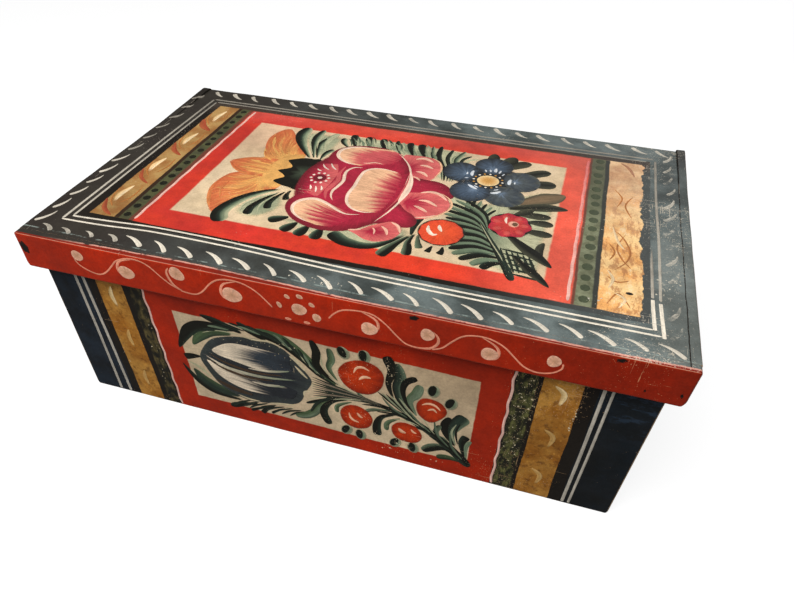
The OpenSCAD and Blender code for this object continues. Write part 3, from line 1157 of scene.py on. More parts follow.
def row_tree():
    """Geometry nodes that repeat the given mesh along a line, each copy a little different."""
    name = "Row of strokes"
    tree = bpy.data.node_groups.get(name)
    if tree:
        return tree
    tree = bpy.data.node_groups.new(name, "GeometryNodeTree")
    inputs = {
        "Geometry": "Geometry", "Count": "Int", "Start": "Vector", "End": "Vector", "Axis": "Vector",
        "Turn": "Float", "Sway": "Float", "Drift": "Vector", "Smallest": "Float", "Fade": "Float",
        "Last Fade": "Float", "Seed": "Int", "Material": "Material"}
    for label, kind in inputs.items():
        tree.interface.new_socket(name=label, in_out="INPUT", socket_type="NodeSocket" + kind)
    tree.interface.new_socket(name="Geometry", in_out="OUTPUT", socket_type="NodeSocketGeometry")
    g = Graph(tree)
    given = g.node("NodeGroupInput").outputs

    def draw(low, high, salt):
        """A random number for each copy."""
        made = g.node("FunctionNodeRandomValue", data_type="FLOAT")
        g.put(made.inputs[2], low)
        g.put(made.inputs[3], high)
        g.put(made.inputs["Seed"], g.plus(given["Seed"], salt))
        return made.outputs[1]

    line_node = g.node("GeometryNodeMeshLine", mode="END_POINTS", count_mode="TOTAL")
    spots = g.fill(line_node, Count=given["Count"], Start_Location=given["Start"], Offset=given["End"])
    scatter = g.node("ShaderNodeVectorMath", operation="SCALE")
    g.put(scatter.inputs[0], given["Drift"])
    g.put(scatter.inputs["Scale"], draw(-1.0, 1.0, 11.0))
    moved = g.fill(g.node("GeometryNodeSetPosition"), Geometry=spots[0], Offset=scatter.outputs[0])
    angle = g.plus(given["Turn"], g.times(given["Sway"], draw(-1.0, 1.0, 23.0)))
    turned = g.fill(g.node("FunctionNodeAxisAngleToRotation"), Axis=given["Axis"], Angle=angle)
    copies = g.fill(
        g.node("GeometryNodeInstanceOnPoints"), Points=moved[0], Instance=given["Geometry"],
        Rotation=turned[0], Scale=draw(given["Smallest"], 1.0, 37.0))
    ahead = g.math("DIVIDE", g.node("GeometryNodeInputIndex").outputs[0], given["Count"])
    gain = g.times(ahead, g.minus(given["Last Fade"], given["Fade"]))
    fade = g.times(g.plus(given["Fade"], gain), draw(0.4, 1.0, 51.0))
    store = g.node("GeometryNodeStoreNamedAttribute", data_type="FLOAT", domain="INSTANCE")
    faded = g.fill(store, Geometry=copies[0], Name="fade", Value=fade)
    plain = g.fill(g.node("GeometryNodeRealizeInstances"), Geometry=faded[0])
    coated = g.fill(g.node("GeometryNodeSetMaterial"), Geometry=plain[0], Material=given["Material"])
    g.fill(g.node("NodeGroupOutput"), Geometry=coated[0])
    return tree


def row_mesh(name, mesh, paint, **values):
    """A plain mesh of copies of a mesh along a line. Places are in metres."""
    tree = row_tree()
    holder = bpy.data.objects.new(name + "_maker", mesh)
    bpy.context.scene.collection.objects.link(holder)
    modifier = holder.modifiers.new("row", "NODES")
    modifier.node_group = tree
    settings = {
        "Sway": 0.0, "Turn": 0.0, "Axis": (0, 0, 1), "Drift": (0, 0, 0), "Smallest": 1.0, "Fade": 0.0,
        "Last Fade": 0.0, "Seed": 1, "Material": paint, **values}
    for item in tree.interface.items_tree:
        if item.in_out == "INPUT" and item.name in settings:
            modifier[item.identifier] = settings[item.name]
    bpy.context.view_layer.update()
    graph = bpy.context.evaluated_depsgraph_get()
    made = bpy.data.meshes.new_from_object(holder.evaluated_get(graph))
    made.name = name
    bpy.data.objects.remove(holder)
    return made


class PAINTEDBOX_OT_nails(bpy.types.Operator):
    """Makes the nails and hinge pins whose heads show. Those in front lie under the paint."""
    bl_idname = "painted_box.nails"
    bl_label = "Nails"

    proud = 0.05

    def execute(self, context):
        iron = material("old_iron", old_iron)
        for node, board, way in (
            ("back_corner_nails", "back_board", (0, 1, 0)), ("back_bottom_nails", "back_board", (0, 1, 0)),
            ("left_bottom_nails", "left_end_board", (-1, 0, 0)),
            ("right_bottom_nails", "right_end_board", (1, 0, 0)),
            ("left_batten_nails", "lid_left_batten", (-1, 0, 0)),
            ("right_batten_nails", "lid_right_batten", (1, 0, 0)),
            ("left_hinge_pin", "lid_left_batten", (-1, 0, 0)),
            ("right_hinge_pin", "lid_right_batten", (1, 0, 0))
        ):
            self.heads(node, board, Vector(way), iron)
        for node in ("front_corner_nails", "front_bottom_nails", "rail_nails"):
            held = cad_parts[node].data
            held.materials.clear()
            held.materials.append(iron)
        return {"FINISHED"}

    def heads(self, node, board, way, iron):
        """A node's nails, moved out until their heads stand just proud of a board's face."""
        reach = max(corner.dot(way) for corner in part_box(board))
        depth = reach - max(corner.dot(way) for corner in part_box(node)) + self.proud * MM
        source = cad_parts[node]
        mesh = source.data.copy()
        mesh.name = "shown_" + node
        mesh.transform(Matrix.Translation(way * depth) @ source.matrix_world)
        mesh.materials.clear()
        mesh.materials.append(iron)
        add_piece("shown_" + node, mesh, "lid" if "batten" in node else "box", "iron", node)


def lay_row(name, canvas, paint, start, end, **values):
    """Repeats a canvas's stroke between two places on the lid, laid on the battens where they rise."""
    stroke = canvas.mesh(name + "_stroke", paint)
    first, last = ((x * MM, y * MM, LID_TOP) for x, y in (start, end))
    mesh = row_mesh(name, stroke, paint, Start=first, End=last, **values)
    for vertex in mesh.vertices:
        vertex.co.z += lid_rise(vertex.co.x / MM, vertex.co.y / MM) * MM
    add_piece(name, mesh, "lid", "lid_paint")


def lay_commas(paint, name, start, end, count, turn, size, fades, seed, grime=0.0):
    """A row of comma strokes, their round ends turned the given way, faded at its first and last."""
    c = colours()
    s = sizes()
    canvas = lid_canvas(seed)
    canvas.origin = Vector((0, 0, 0))
    half = s.comma_length / 2 * size[0]
    white = blend(c.line, c.slate, grime)
    tones = [white, white, blend(white, c.slate, 0.3)]
    path = [(half, -0.5), (half * 0.3, 0.7), (-half * 0.4, 0.6), (-half, -0.9)]
    canvas.brush(path, s.comma_width * size[1], tones)
    values = {"Count": count, "Smallest": 0.8, "Fade": fades[0], "Last Fade": fades[1], "Seed": seed}
    lay_row(
        name, canvas, paint, start, end, Turn=math.radians(turn), Sway=math.radians(6),
        Drift=(1.0 * MM, 0.5 * MM, 0), **values)


class PAINTEDBOX_OT_lid_border(bpy.types.Operator):
    """Paints the comma strokes round the lid and the dots on its moss strips."""
    bl_idname = "painted_box.lid_border"
    bl_label = "Lid Border"

    def execute(self, context):
        c = colours()
        paint = material("border_strokes", stroke_paint, c.slate, 0.5)
        for row in (
            ("front_dabs", (-157, -96.2), (-118.3, -94.9), 4, -32, (0.74, 0.9), (0.5, 0.35), 2, 0.2),
            ("front_commas_left", (-106, -93.9), (-13.3, -95.4), 7, -33, (1.14, 0.95), (0.15, 0.1), 3),
            ("front_commas_right", (1.7, -95.8), (157.2, -96.2), 12, -33, (1.1, 0.9), (0.1, 0.25), 4),
            ("back_commas", (-153.5, 95.6), (157, 95.4), 22, 138, (1.0, 1.1), (0.45, 0.8), 5, 0.15),
            ("left_commas_near", (-163.2, -86.4), (-164, -14.4), 6, 248, (1.1, 0.84), (0.1, 0.3), 7, 0.1),
            ("left_commas_far", (-164, 2), (-164.4, 86), 6, 248, (0.95, 0.8), (0.3, 0.6), 8, 0.55),
            ("right_commas", (160.2, -84), (160.2, 90), 13, 242, (1.0, 0.9), (1.6, 0.9), 9, 0.15)
        ):
            lay_commas(paint, *row)
        dots = material("moss_dots", stroke_paint, c.moss, 0.3)
        for name, x, size, tones, seed in (
            ("left_dots", -122.7, 1.1, [c.leaf], 13), ("right_dots", 119.7, 1.3, [srgb(66, 74, 52)], 17)
        ):
            canvas = lid_canvas(seed)
            canvas.origin = Vector((0, 0, 0))
            half = sizes().dot_width * size / 2
            canvas.dot(0, 0, half * 0.9, half, tones, count=20, rings=3, soft=1.2)
            values = {"Count": 17, "Smallest": 0.86, "Fade": 0.1, "Last Fade": 0.3, "Seed": seed}
            lay_row(name, canvas, dots, (x, -71.5), (x, 72.8), Drift=(0.3 * MM, 0.6 * MM, 0), **values)
        return {"FINISHED"}


def paint_ochre_strokes(canvas, c):
    """Pale lenses and red sweeps on the left strip, brown flourishes on the right one."""
    warm = srgb(206, 160, 94)
    pale = [warm, srgb(238, 214, 172), srgb(226, 188, 134), warm]
    brown = [srgb(166, 98, 48), srgb(190, 126, 64)]
    rust = [srgb(150, 58, 38), srgb(172, 92, 54)]
    for x, y, red in ((-135.8, 59, 6), (-137.4, 21, 4.4), (-138.6, -17, 3.6), (-138, -54, 4)):
        canvas.brush([(x + 1, y + 11), (x - 1, y), (x + 0.6, y - 11)], 5.6, pale, leaf, dry=0.5, soft=1.8)
        canvas.brush([(-143.4, y + 6), (-141, y - 6), (-135, y - 14)], 1.8, brown, leaf, soft=0.7)
        canvas.brush([(-131.6, y + 12), (-131, y), (-134, y - 9)], 1.8, brown, leaf, soft=0.7)
        canvas.brush([(-143.6, y - 6), (-139, y - 16), (-130.6, y - 22)], red, rust, leaf, soft=1.2)
    for points in (
        [(129, -4), (135, -11), (139.4, -24), (137.6, -35), (131, -45)],
        [(137, -8), (133, -22), (136, -33), (141, -41)], [(128.6, -19), (132, -27), (129.4, -36)],
        [(129, -49), (134, -53), (140, -50)], [(130, -72), (135, -62), (141, -73)],
        [(129.5, 40), (134, 30), (131, 18)], [(140, 34), (136, 22), (140, 8)]
    ):
        canvas.brush(points, 1.6, brown, leaf, soft=0.7)
    canvas.brush(
        [(132, 75), (137, 69), (140.6, 58)], 3, [srgb(150, 96, 70), srgb(186, 134, 98)], leaf, soft=1.2)
    for points in (
        [(129, -44), (132, -51), (130, -60)], [(130, -2), (133, -16), (137, -24)],
        [(133, -62), (138, -66), (135, -74)]
    ):
        canvas.brush(points, 2.6, [c.cream, srgb(240, 206, 150)], leaf, soft=1)
    canvas.dot(139.8, -60.6, 2, 1.3, [c.black])


def paint_lid_lines(canvas, c):
    """Double lines round the lid, fainter at its ends and its back, and the pink lines beside the frame."""
    wide = sizes().line_width
    pale = [c.line, c.line]
    grey, dim, dull, far = ([blend(c.line, c.slate, share)] for share in (0.45, 0.75, 0.3, 0.7))
    for points, width, tones, tail, dry, soft in (
        ([(-153.9, -87), (-153.8, -30), (-153.6, 30), (-153.2, 86.6)], 2.5, dull, dim, None, 1),
        ([(-150, -82.8), (-149.9, -30), (-149.7, 30), (-149.2, 82.6)], 2.2, dull, dim, None, 0.9),
        ([(-154.6, -86.9), (-130, -86), (-100, -83.4), (-57, -83.6), (-15, -85.4), (20, -86.8), (57, -87.3),
          (110, -87.8), (156, -88)], wide, pale, None, None, None),
        ([(-150.8, -82.7), (-130, -81.4), (-100, -79.2), (-57, -79.6), (-15, -81.8), (20, -83.2),
          (57, -83.8), (110, -84.2), (152.2, -84.3)], wide, pale, None, None, None),
        ([(155, -89.3), (154.2, -75), (153.7, -64)], 2.2, pale, None, None, None),
        ([(151.1, -84.6), (150.5, -72), (150.2, -62)], 2.2, pale, None, None, None),
        ([(153.7, -63), (153.4, -10), (152.4, 30), (152.2, 85)], 2.2, grey, dim, None, 1),
        ([(150.2, -61), (149.9, -36), (149.6, -8)], 2.2, grey, dim, 0.5, 1),
        ([(-153.4, 86.4), (-60, 86), (40, 85.8), (153, 86.2)], 2.6, far, None, None, 1.2),
        ([(-149.4, 82.4), (-60, 82), (40, 81.8), (149, 82)], 2.4, far, None, None, 1.1)
    ):
        canvas.brush(points, width, tones, tail=tail, shape=line, dry=dry, soft=soft)
    rosy = [blend(c.line, c.pink, 0.5)]
    for start, end, tail in (
        ((-116.6, -75.5), (-115, 76.1), rosy), ((112.6, -75.5), (112.8, 73.1), [c.pink])
    ):
        canvas.brush(wavering(start, end, 26, 0.2, 2.1), 2.6, rosy, tail=tail, shape=line, soft=1.1)


class PAINTEDBOX_OT_lid_lines(bpy.types.Operator):
    """Paints the double lines, the pink lines and the ochre strips' strokes on the lid."""
    bl_idname = "painted_box.lid_lines"
    bl_label = "Lid Lines"

    def execute(self, context):
        c = colours()
        canvas = lid_canvas(21)
        paint_lid_lines(canvas, c)
        paint_ochre_strokes(canvas, c)
        canvas.specks(
            [srgb(214, 206, 186), srgb(178, 172, 154)],
            (((161, -46), (3, 12), 26), ((155, -52), (4, 9), 16), ((126, 2), (1, 34), 14),
             ((-2, -97), (16, 2.6), 18), ((-150, -66), (1.2, 5), 8), ((128, -72), (24, 4), 16)))
        paint = material("lid_strokes", stroke_paint, c.slate, 0.5)
        add_piece("lid_lines", canvas.mesh("lid_lines", paint), "lid", "lid_paint")
        return {"FINISHED"}


def paint_washes(canvas, c):
    """Thin green laid under the leaves."""
    wash = [c.sage, c.mist, c.mist]
    thin = [c.mist, c.mist]
    for outline, focus, tones in (
        ([(-72, 58), (-50, 60), (-38, 56), (-42, 22), (-54, 24)], (-54, 44), wash),
        ([(-74, -54), (-68, -32), (-48, -20), (-42, -40), (-56, -58)], (-58, -42), wash),
        ([(-40, 60), (34, 60), (48, 52), (40, 14), (0, 44), (-38, 44)], (2, 50), wash),
        ([(-50, -48), (-30, -58), (0, -62), (34, -60), (32, -36), (0, -48)], (0, -54), thin),
        ([(34, 22), (40, -22), (42, -48), (60, -62), (98, -64), (101, -30), (98, 30), (60, 4)], (68, -28),
         wash)
    ):
        canvas.petal(outline, focus, tones, soft=14)


def paint_feathered_flower(canvas, c):
    """Orange and yellow flower with feathered tips at the left."""
    warm = blend(c.yellow, c.coral, 0.5)
    rust = blend(c.coral, srgb(170, 62, 30), 0.75)
    gold = [c.yellow, warm, srgb(232, 180, 96), c.yellow]
    upper = [
        (-77, 13), (-83.6, 21), (-88, 32), (-89.6, 43), (-86.6, 54), (-81.4, 58.6), (-76.4, 54), (-71, 45),
        (-65, 36), (-57, 28), (-57, 14), (-68, 6)]
    lower = [
        (-89, -9), (-94, -16), (-95.6, -26), (-94, -37), (-88.6, -48), (-80.6, -57.4), (-77, -46),
        (-70, -33), (-58, -23), (-57, -10), (-72, -3)]
    middle = [
        (-80, 13), (-90, 10), (-99.4, 3.2), (-92.6, -5), (-85, -9.4), (-74, -12), (-58, -12), (-58, 12)]
    body = [
        (-56, 24), (-66, 28), (-76, 24), (-84, 14), (-88, 2), (-86, -10), (-78, -22), (-66, -26),
        (-56, -20)]
    canvas.petal(body, (-66, 1), [c.yellow, c.yellow, warm], soft=6)
    for outline, focus in ((upper, (-65, 17)), (lower, (-65, -14)), (middle, (-67, 1))):
        canvas.petal(
            outline, focus, [c.yellow, c.yellow, c.yellow, warm, c.coral, c.coral], feather=0.12, count=60,
            soft=2.4)
    canvas.petal(
        [(-55, 24), (-62, 27), (-70, 19), (-74, 8), (-75, -2), (-72, -13), (-64, -22), (-55, -19)],
        (-62, 2), [c.yellow], soft=6)
    for tips, roots, count, bend in (
        (upper[1:9], [(-73, 9), (-71, 12), (-69, 15), (-67, 18), (-65, 20), (-62, 22)], 15, -0.08),
        (lower[1:8], [(-72, -5), (-71, -9), (-70, -13), (-68, -17), (-66, -19), (-63, -21)], 15, -0.14),
        ([(-87, 9.6), (-94, 5), (-94, 0), (-88, -6)], [(-70, 7), (-68, 3), (-68, -2), (-70, -6)], 8, 0.02)
    ):
        canvas.plume(tips, roots, count, bend, 3.2, [rust, c.coral, c.coral, warm, c.yellow], gold)
    canvas.strokes((
        ([(-98.6, 3.2), (-90, 9), (-82, 11.8), (-74, 11)], 3.4),
        ([(-98.4, 2.4), (-91.6, -4.6), (-84, -8.6), (-74, -9)], 3.4),
        ([(-84.6, 52), (-86.4, 39), (-82.6, 27), (-74, 16)], 3), ([(-82, 40), (-79.6, 30), (-72, 20)], 3),
        ([(-92.6, -17), (-93.4, -30), (-88, -45), (-81, -56)], 3.6),
        ([(-87, -20), (-87.4, -31), (-82, -43)], 2.6)
    ), tones=[rust, c.coral], tail=[warm], shape=leaf, soft=1.3, dry=0.4)


def paint_left_leaves(canvas, c):
    """Dark scalloped leaf and two sprays of long leaves between the feathered flower and the rose."""
    ink = c.leaf
    canvas.petal(
        [(-44, 19), (-50, 21), (-56, 20.5), (-61, 17.5), (-64.5, 14.5), (-60, 9.5), (-59, 6.5), (-62, 3.5),
         (-65.5, 0.5), (-61, -3), (-58.6, -6), (-61, -9), (-63, -12.5), (-58, -15.5), (-52, -17),
         (-44, -16)], (-50, 2), [blend(ink, c.sage, 0.35), ink, ink], count=64)
    lit = [c.mist, blend(c.sage, c.mist, 0.5), c.sage, c.pine, ink, ink, ink]
    drop = [ink, ink, c.pine]
    canvas.strokes((
        ([(-69, 62.6), (-69.6, 51), (-64.5, 38), (-52, 20)], 9.5, lit, blade),
        ([(-58, 62), (-59, 50), (-56, 36), (-50, 21)], 6, lit, blade),
        ([(-51, 52), (-53, 42), (-51.6, 33), (-48.4, 22)], 5, lit, blade),
        ([(-47, 60), (-50, 52), (-50, 42), (-47, 32)], 5, [c.mist, c.mist, c.sage], blade),
        ([(-42.5, 37), (-45.4, 30), (-46, 21)], 4.6, lit, blade),
        ([(-41, 55), (-40, 49), (-34, 42)], 5, lit, blade),
        ([(-62, 58), (-62.6, 48), (-58, 36), (-52, 25)], 1.5, [c.mist], leaf),
        ([(-55, 56), (-56, 46), (-53, 34)], 1.3, [c.mist], leaf),
        ([(-71.5, -63), (-76, -53), (-71.5, -38), (-62, -26), (-51, -19.5)], 10.4, lit[::-1], comma),
        ([(-61.4, -52), (-62, -44), (-59, -34), (-52, -21)], 5.6, drop, comma),
        ([(-53, -43), (-54.6, -37), (-53, -29), (-49.6, -20)], 5, drop, comma),
        ([(-46.6, -31), (-48.6, -26), (-48, -19)], 4.6, drop, comma),
        ([(-66, -50), (-67, -42), (-61, -32), (-53, -24)], 2.4, [c.mist, c.mist, c.sage], leaf),
        ([(-56, -49), (-58, -40), (-55, -30)], 2, [c.mist, c.sage], leaf)
    ))
    for x, y, turn in ((-42.6, -50.4, 0.6), (-34, -56, 1.1), (-26, -57.4, 1.3), (-17.4, -57.8, 1.5)):
        way = Vector((math.cos(turn), math.sin(turn))) * 6
        place = Vector((x, y))
        canvas.brush([place - way, place, place + way], 7.4, [c.sage, c.pine, ink, ink, ink], blade)


def paint_upper_leaves(canvas, c):
    """Short leaves along the top of the panel and the blades between the rose and the blue flower."""
    ink = blend(c.leaf, c.black, 0.5)
    lit = [c.mist, c.sage, c.pine, ink]
    for x, wide in ((-36, 5.4), (-26, 5), (-16, 5.4), (-6.6, 3.4), (2, 5), (9.6, 5.6)):
        canvas.brush([(x + 3, 60), (x + 4.6, 53), (x + 9, 44)], 2.4, [c.mist, c.sage], leaf)
        canvas.brush([(x, 62), (x + 1, 55), (x + 6, 43)], wide, [c.pine, ink, ink, c.pine], blade)
    for x, top, wide, tones in (
        (17, 61, 3.4, lit), (22, 63, 4.2, [c.pine, ink, ink]), (26, 58, 2.2, [c.mist]),
        (30, 60, 3.4, [c.pine, ink]), (35, 54, 2.4, [c.mist, c.sage]), (38, 60, 3.8, lit),
        (43, 55, 2.8, [c.pine, ink]), (48, 52, 2.6, [c.mist])
    ):
        canvas.brush(
            [(x, top), (x * 0.72 + 7.4, 48), (0.4 * x + 21, 34), (0.2 * x + 29, 17)], wide, tones, blade)
    for _ in range(26):
        x = canvas.dice.uniform(-38, 22)
        y = canvas.dice.uniform(44, 58)
        tone = ramp_colour(evenly([c.pine, c.sage, c.mist]), canvas.dice.random())
        canvas.brush(
            [(x - 3, y + 5), (x, y + 1), (x + 2, y - 5)], canvas.dice.uniform(1.2, 2.4), [tone], leaf)


def paint_right_leaves(canvas, c):
    """Leaves behind the blue flower and the orange flowers, and the frond with its stem."""
    ink = c.leaf
    olive = srgb(70, 70, 54)
    rusty = srgb(122, 100, 74)
    canvas.strokes((
        ([(56.4, 63), (56.6, 56), (57.6, 44)], 8, [ink, olive]),
        ([(69, 62), (67, 56), (62, 46)], 9, [ink, olive]),
        ([(80, 56), (74, 53), (62, 42)], 9, [olive, ink]),
        ([(92.5, 48), (86, 45), (70, 34)], 9, [olive, ink, olive]),
        ([(97, 33.4), (91, 32), (76, 29)], 10, [olive, ink, olive]),
        ([(103, 23), (97, 18), (90, 14), (76, 4)], 13, [olive, rusty, rusty, olive]),
        ([(106, 7), (97, 6.4), (88, 4), (72, -2)], 9, [olive, ink, olive]),
        ([(98, -4), (91, -4.8), (78, -5)], 7.4, [olive, ink]),
        ([(100, -12), (95, -11.6), (86, -12)], 7, [olive, ink]),
        ([(100.5, -22), (95, -22), (85, -21)], 7, [olive, ink]),
        ([(97, -30), (95.4, -37), (97, -48)], 5, [ink, olive]),
        ([(88, 2), (84, -2), (78, -8)], 6, [ink, olive])
    ), shape=leaf)
    tips = smooth_curve(
        [(68, -5), (62, 0), (55, 4), (48, 2), (42, -5), (40, -13), (43, -21), (50, -27), (54, -34),
         (52, -43), (51, -50), (58, -58), (70, -62.6)], 25)
    roots = smooth_curve(
        [(66, -24), (67, -27), (68, -30), (70, -34), (72, -38), (74, -43), (77, -48), (80, -55)], 25)
    for k, (tip, root) in enumerate(zip(tips, roots)):
        way = root - tip
        middle = (tip + root) / 2 + Vector((-way.y, way.x)) * 0.16 * (-1 if k < 6 else 1)
        tones = [c.sage, c.sage, c.pine] if k % 2 else [c.pine, ink, ink, ink]
        canvas.brush([tip, middle, root], 2.4 + 0.13 * k, tones, blade)
    canvas.brush([(86, -68), (81, -57), (74, -43), (66, -28), (60, -16)], 5, [ink, c.pine])
    canvas.brush([(84, -62), (78, -50), (70, -36), (61, -19)], 1.2, [c.mist], leaf)
    canvas.strokes((
        ([(30, -24), (29, -34), (30, -46)], 6, [ink, c.pine]),
        ([(-11, -54.6), (0, -61), (15, -59), (30, -40)], 9, [c.sage, c.pine, ink, ink]),
        ([(19, -67.4), (22, -60), (25, -53), (31, -42)], 7, [c.sage, ink, ink]),
        ([(32, -63), (31, -56), (30, -50), (32, -40)], 6, [c.sage, ink, ink]),
        ([(37, -55), (35, -50), (33, -42)], 4.6, [c.sage, ink]),
        ([(41.4, -57), (42, -54), (43, -50)], 4, [ink]), ([(47.6, -57), (48.4, -54), (48, -49)], 4.4, [ink])
    ))
    ground = [c.mist, blend(c.mist, c.sage, 0.4)]
    canvas.petal(
        [(77, -39), (85, -43), (93, -50), (97, -57), (91, -61), (86, -62), (80, -52)], (86, -51), ground,
        soft=3)
    for k in range(6):
        canvas.brush(
            [(76 + 3 * k, -41 - 0.8 * k), (83.6 + 2.6 * k, -62.6 + 0.6 * k)], 2.2, [ink, c.pine], leaf)
        canvas.brush([(76 + 1.5 * k, -42 - 4 * k), (93 + 1.4 * k, -44 - 4 * k)], 2.2, [ink, c.pine], leaf)
    canvas.brush([(103, -51.5), (95, -44), (88, -38), (76, -26)], 8, [olive, ink, ink], leaf)
    canvas.brush([(103.5, -68), (97, -61), (91, -55), (82, -45)], 6, [olive, ink, ink], leaf)


def paint_stamens(canvas, c):
    """Ring of cream dots and dashes on the rose's left petal."""
    pale = [c.line, blend(c.line, c.pink, 0.3)]
    heart = Vector((-37.6, -0.8))
    canvas.dot(heart.x, heart.y, 4.2, 4.6, [blend(c.crimson, c.black, 0.6)])
    canvas.dot(heart.x, heart.y, 1.9, 1.9, pale, count=14, rings=2)
    for u, v in ring(heart, 5.3, 6, 10, 0.3):
        canvas.dot(u, v, 1.15, 1.25, pale, count=12, rings=2)
    for points in (
        [(-42, 16.4), (-39.4, 12.6), (-35.6, 10)], [(-37.4, 18.6), (-34.8, 14.2), (-31.4, 11.4)],
        [(-40, -10.6), (-38.6, -13), (-38, -16)], [(-36.4, -11), (-35, -14), (-34, -18)],
        [(-33.4, -9.6), (-32, -12.6), (-31.6, -15)], [(-43, 9.4), (-41.4, 8), (-39.4, 7.4)]
    ):
        canvas.brush(points, 1.7, pale, leaf)


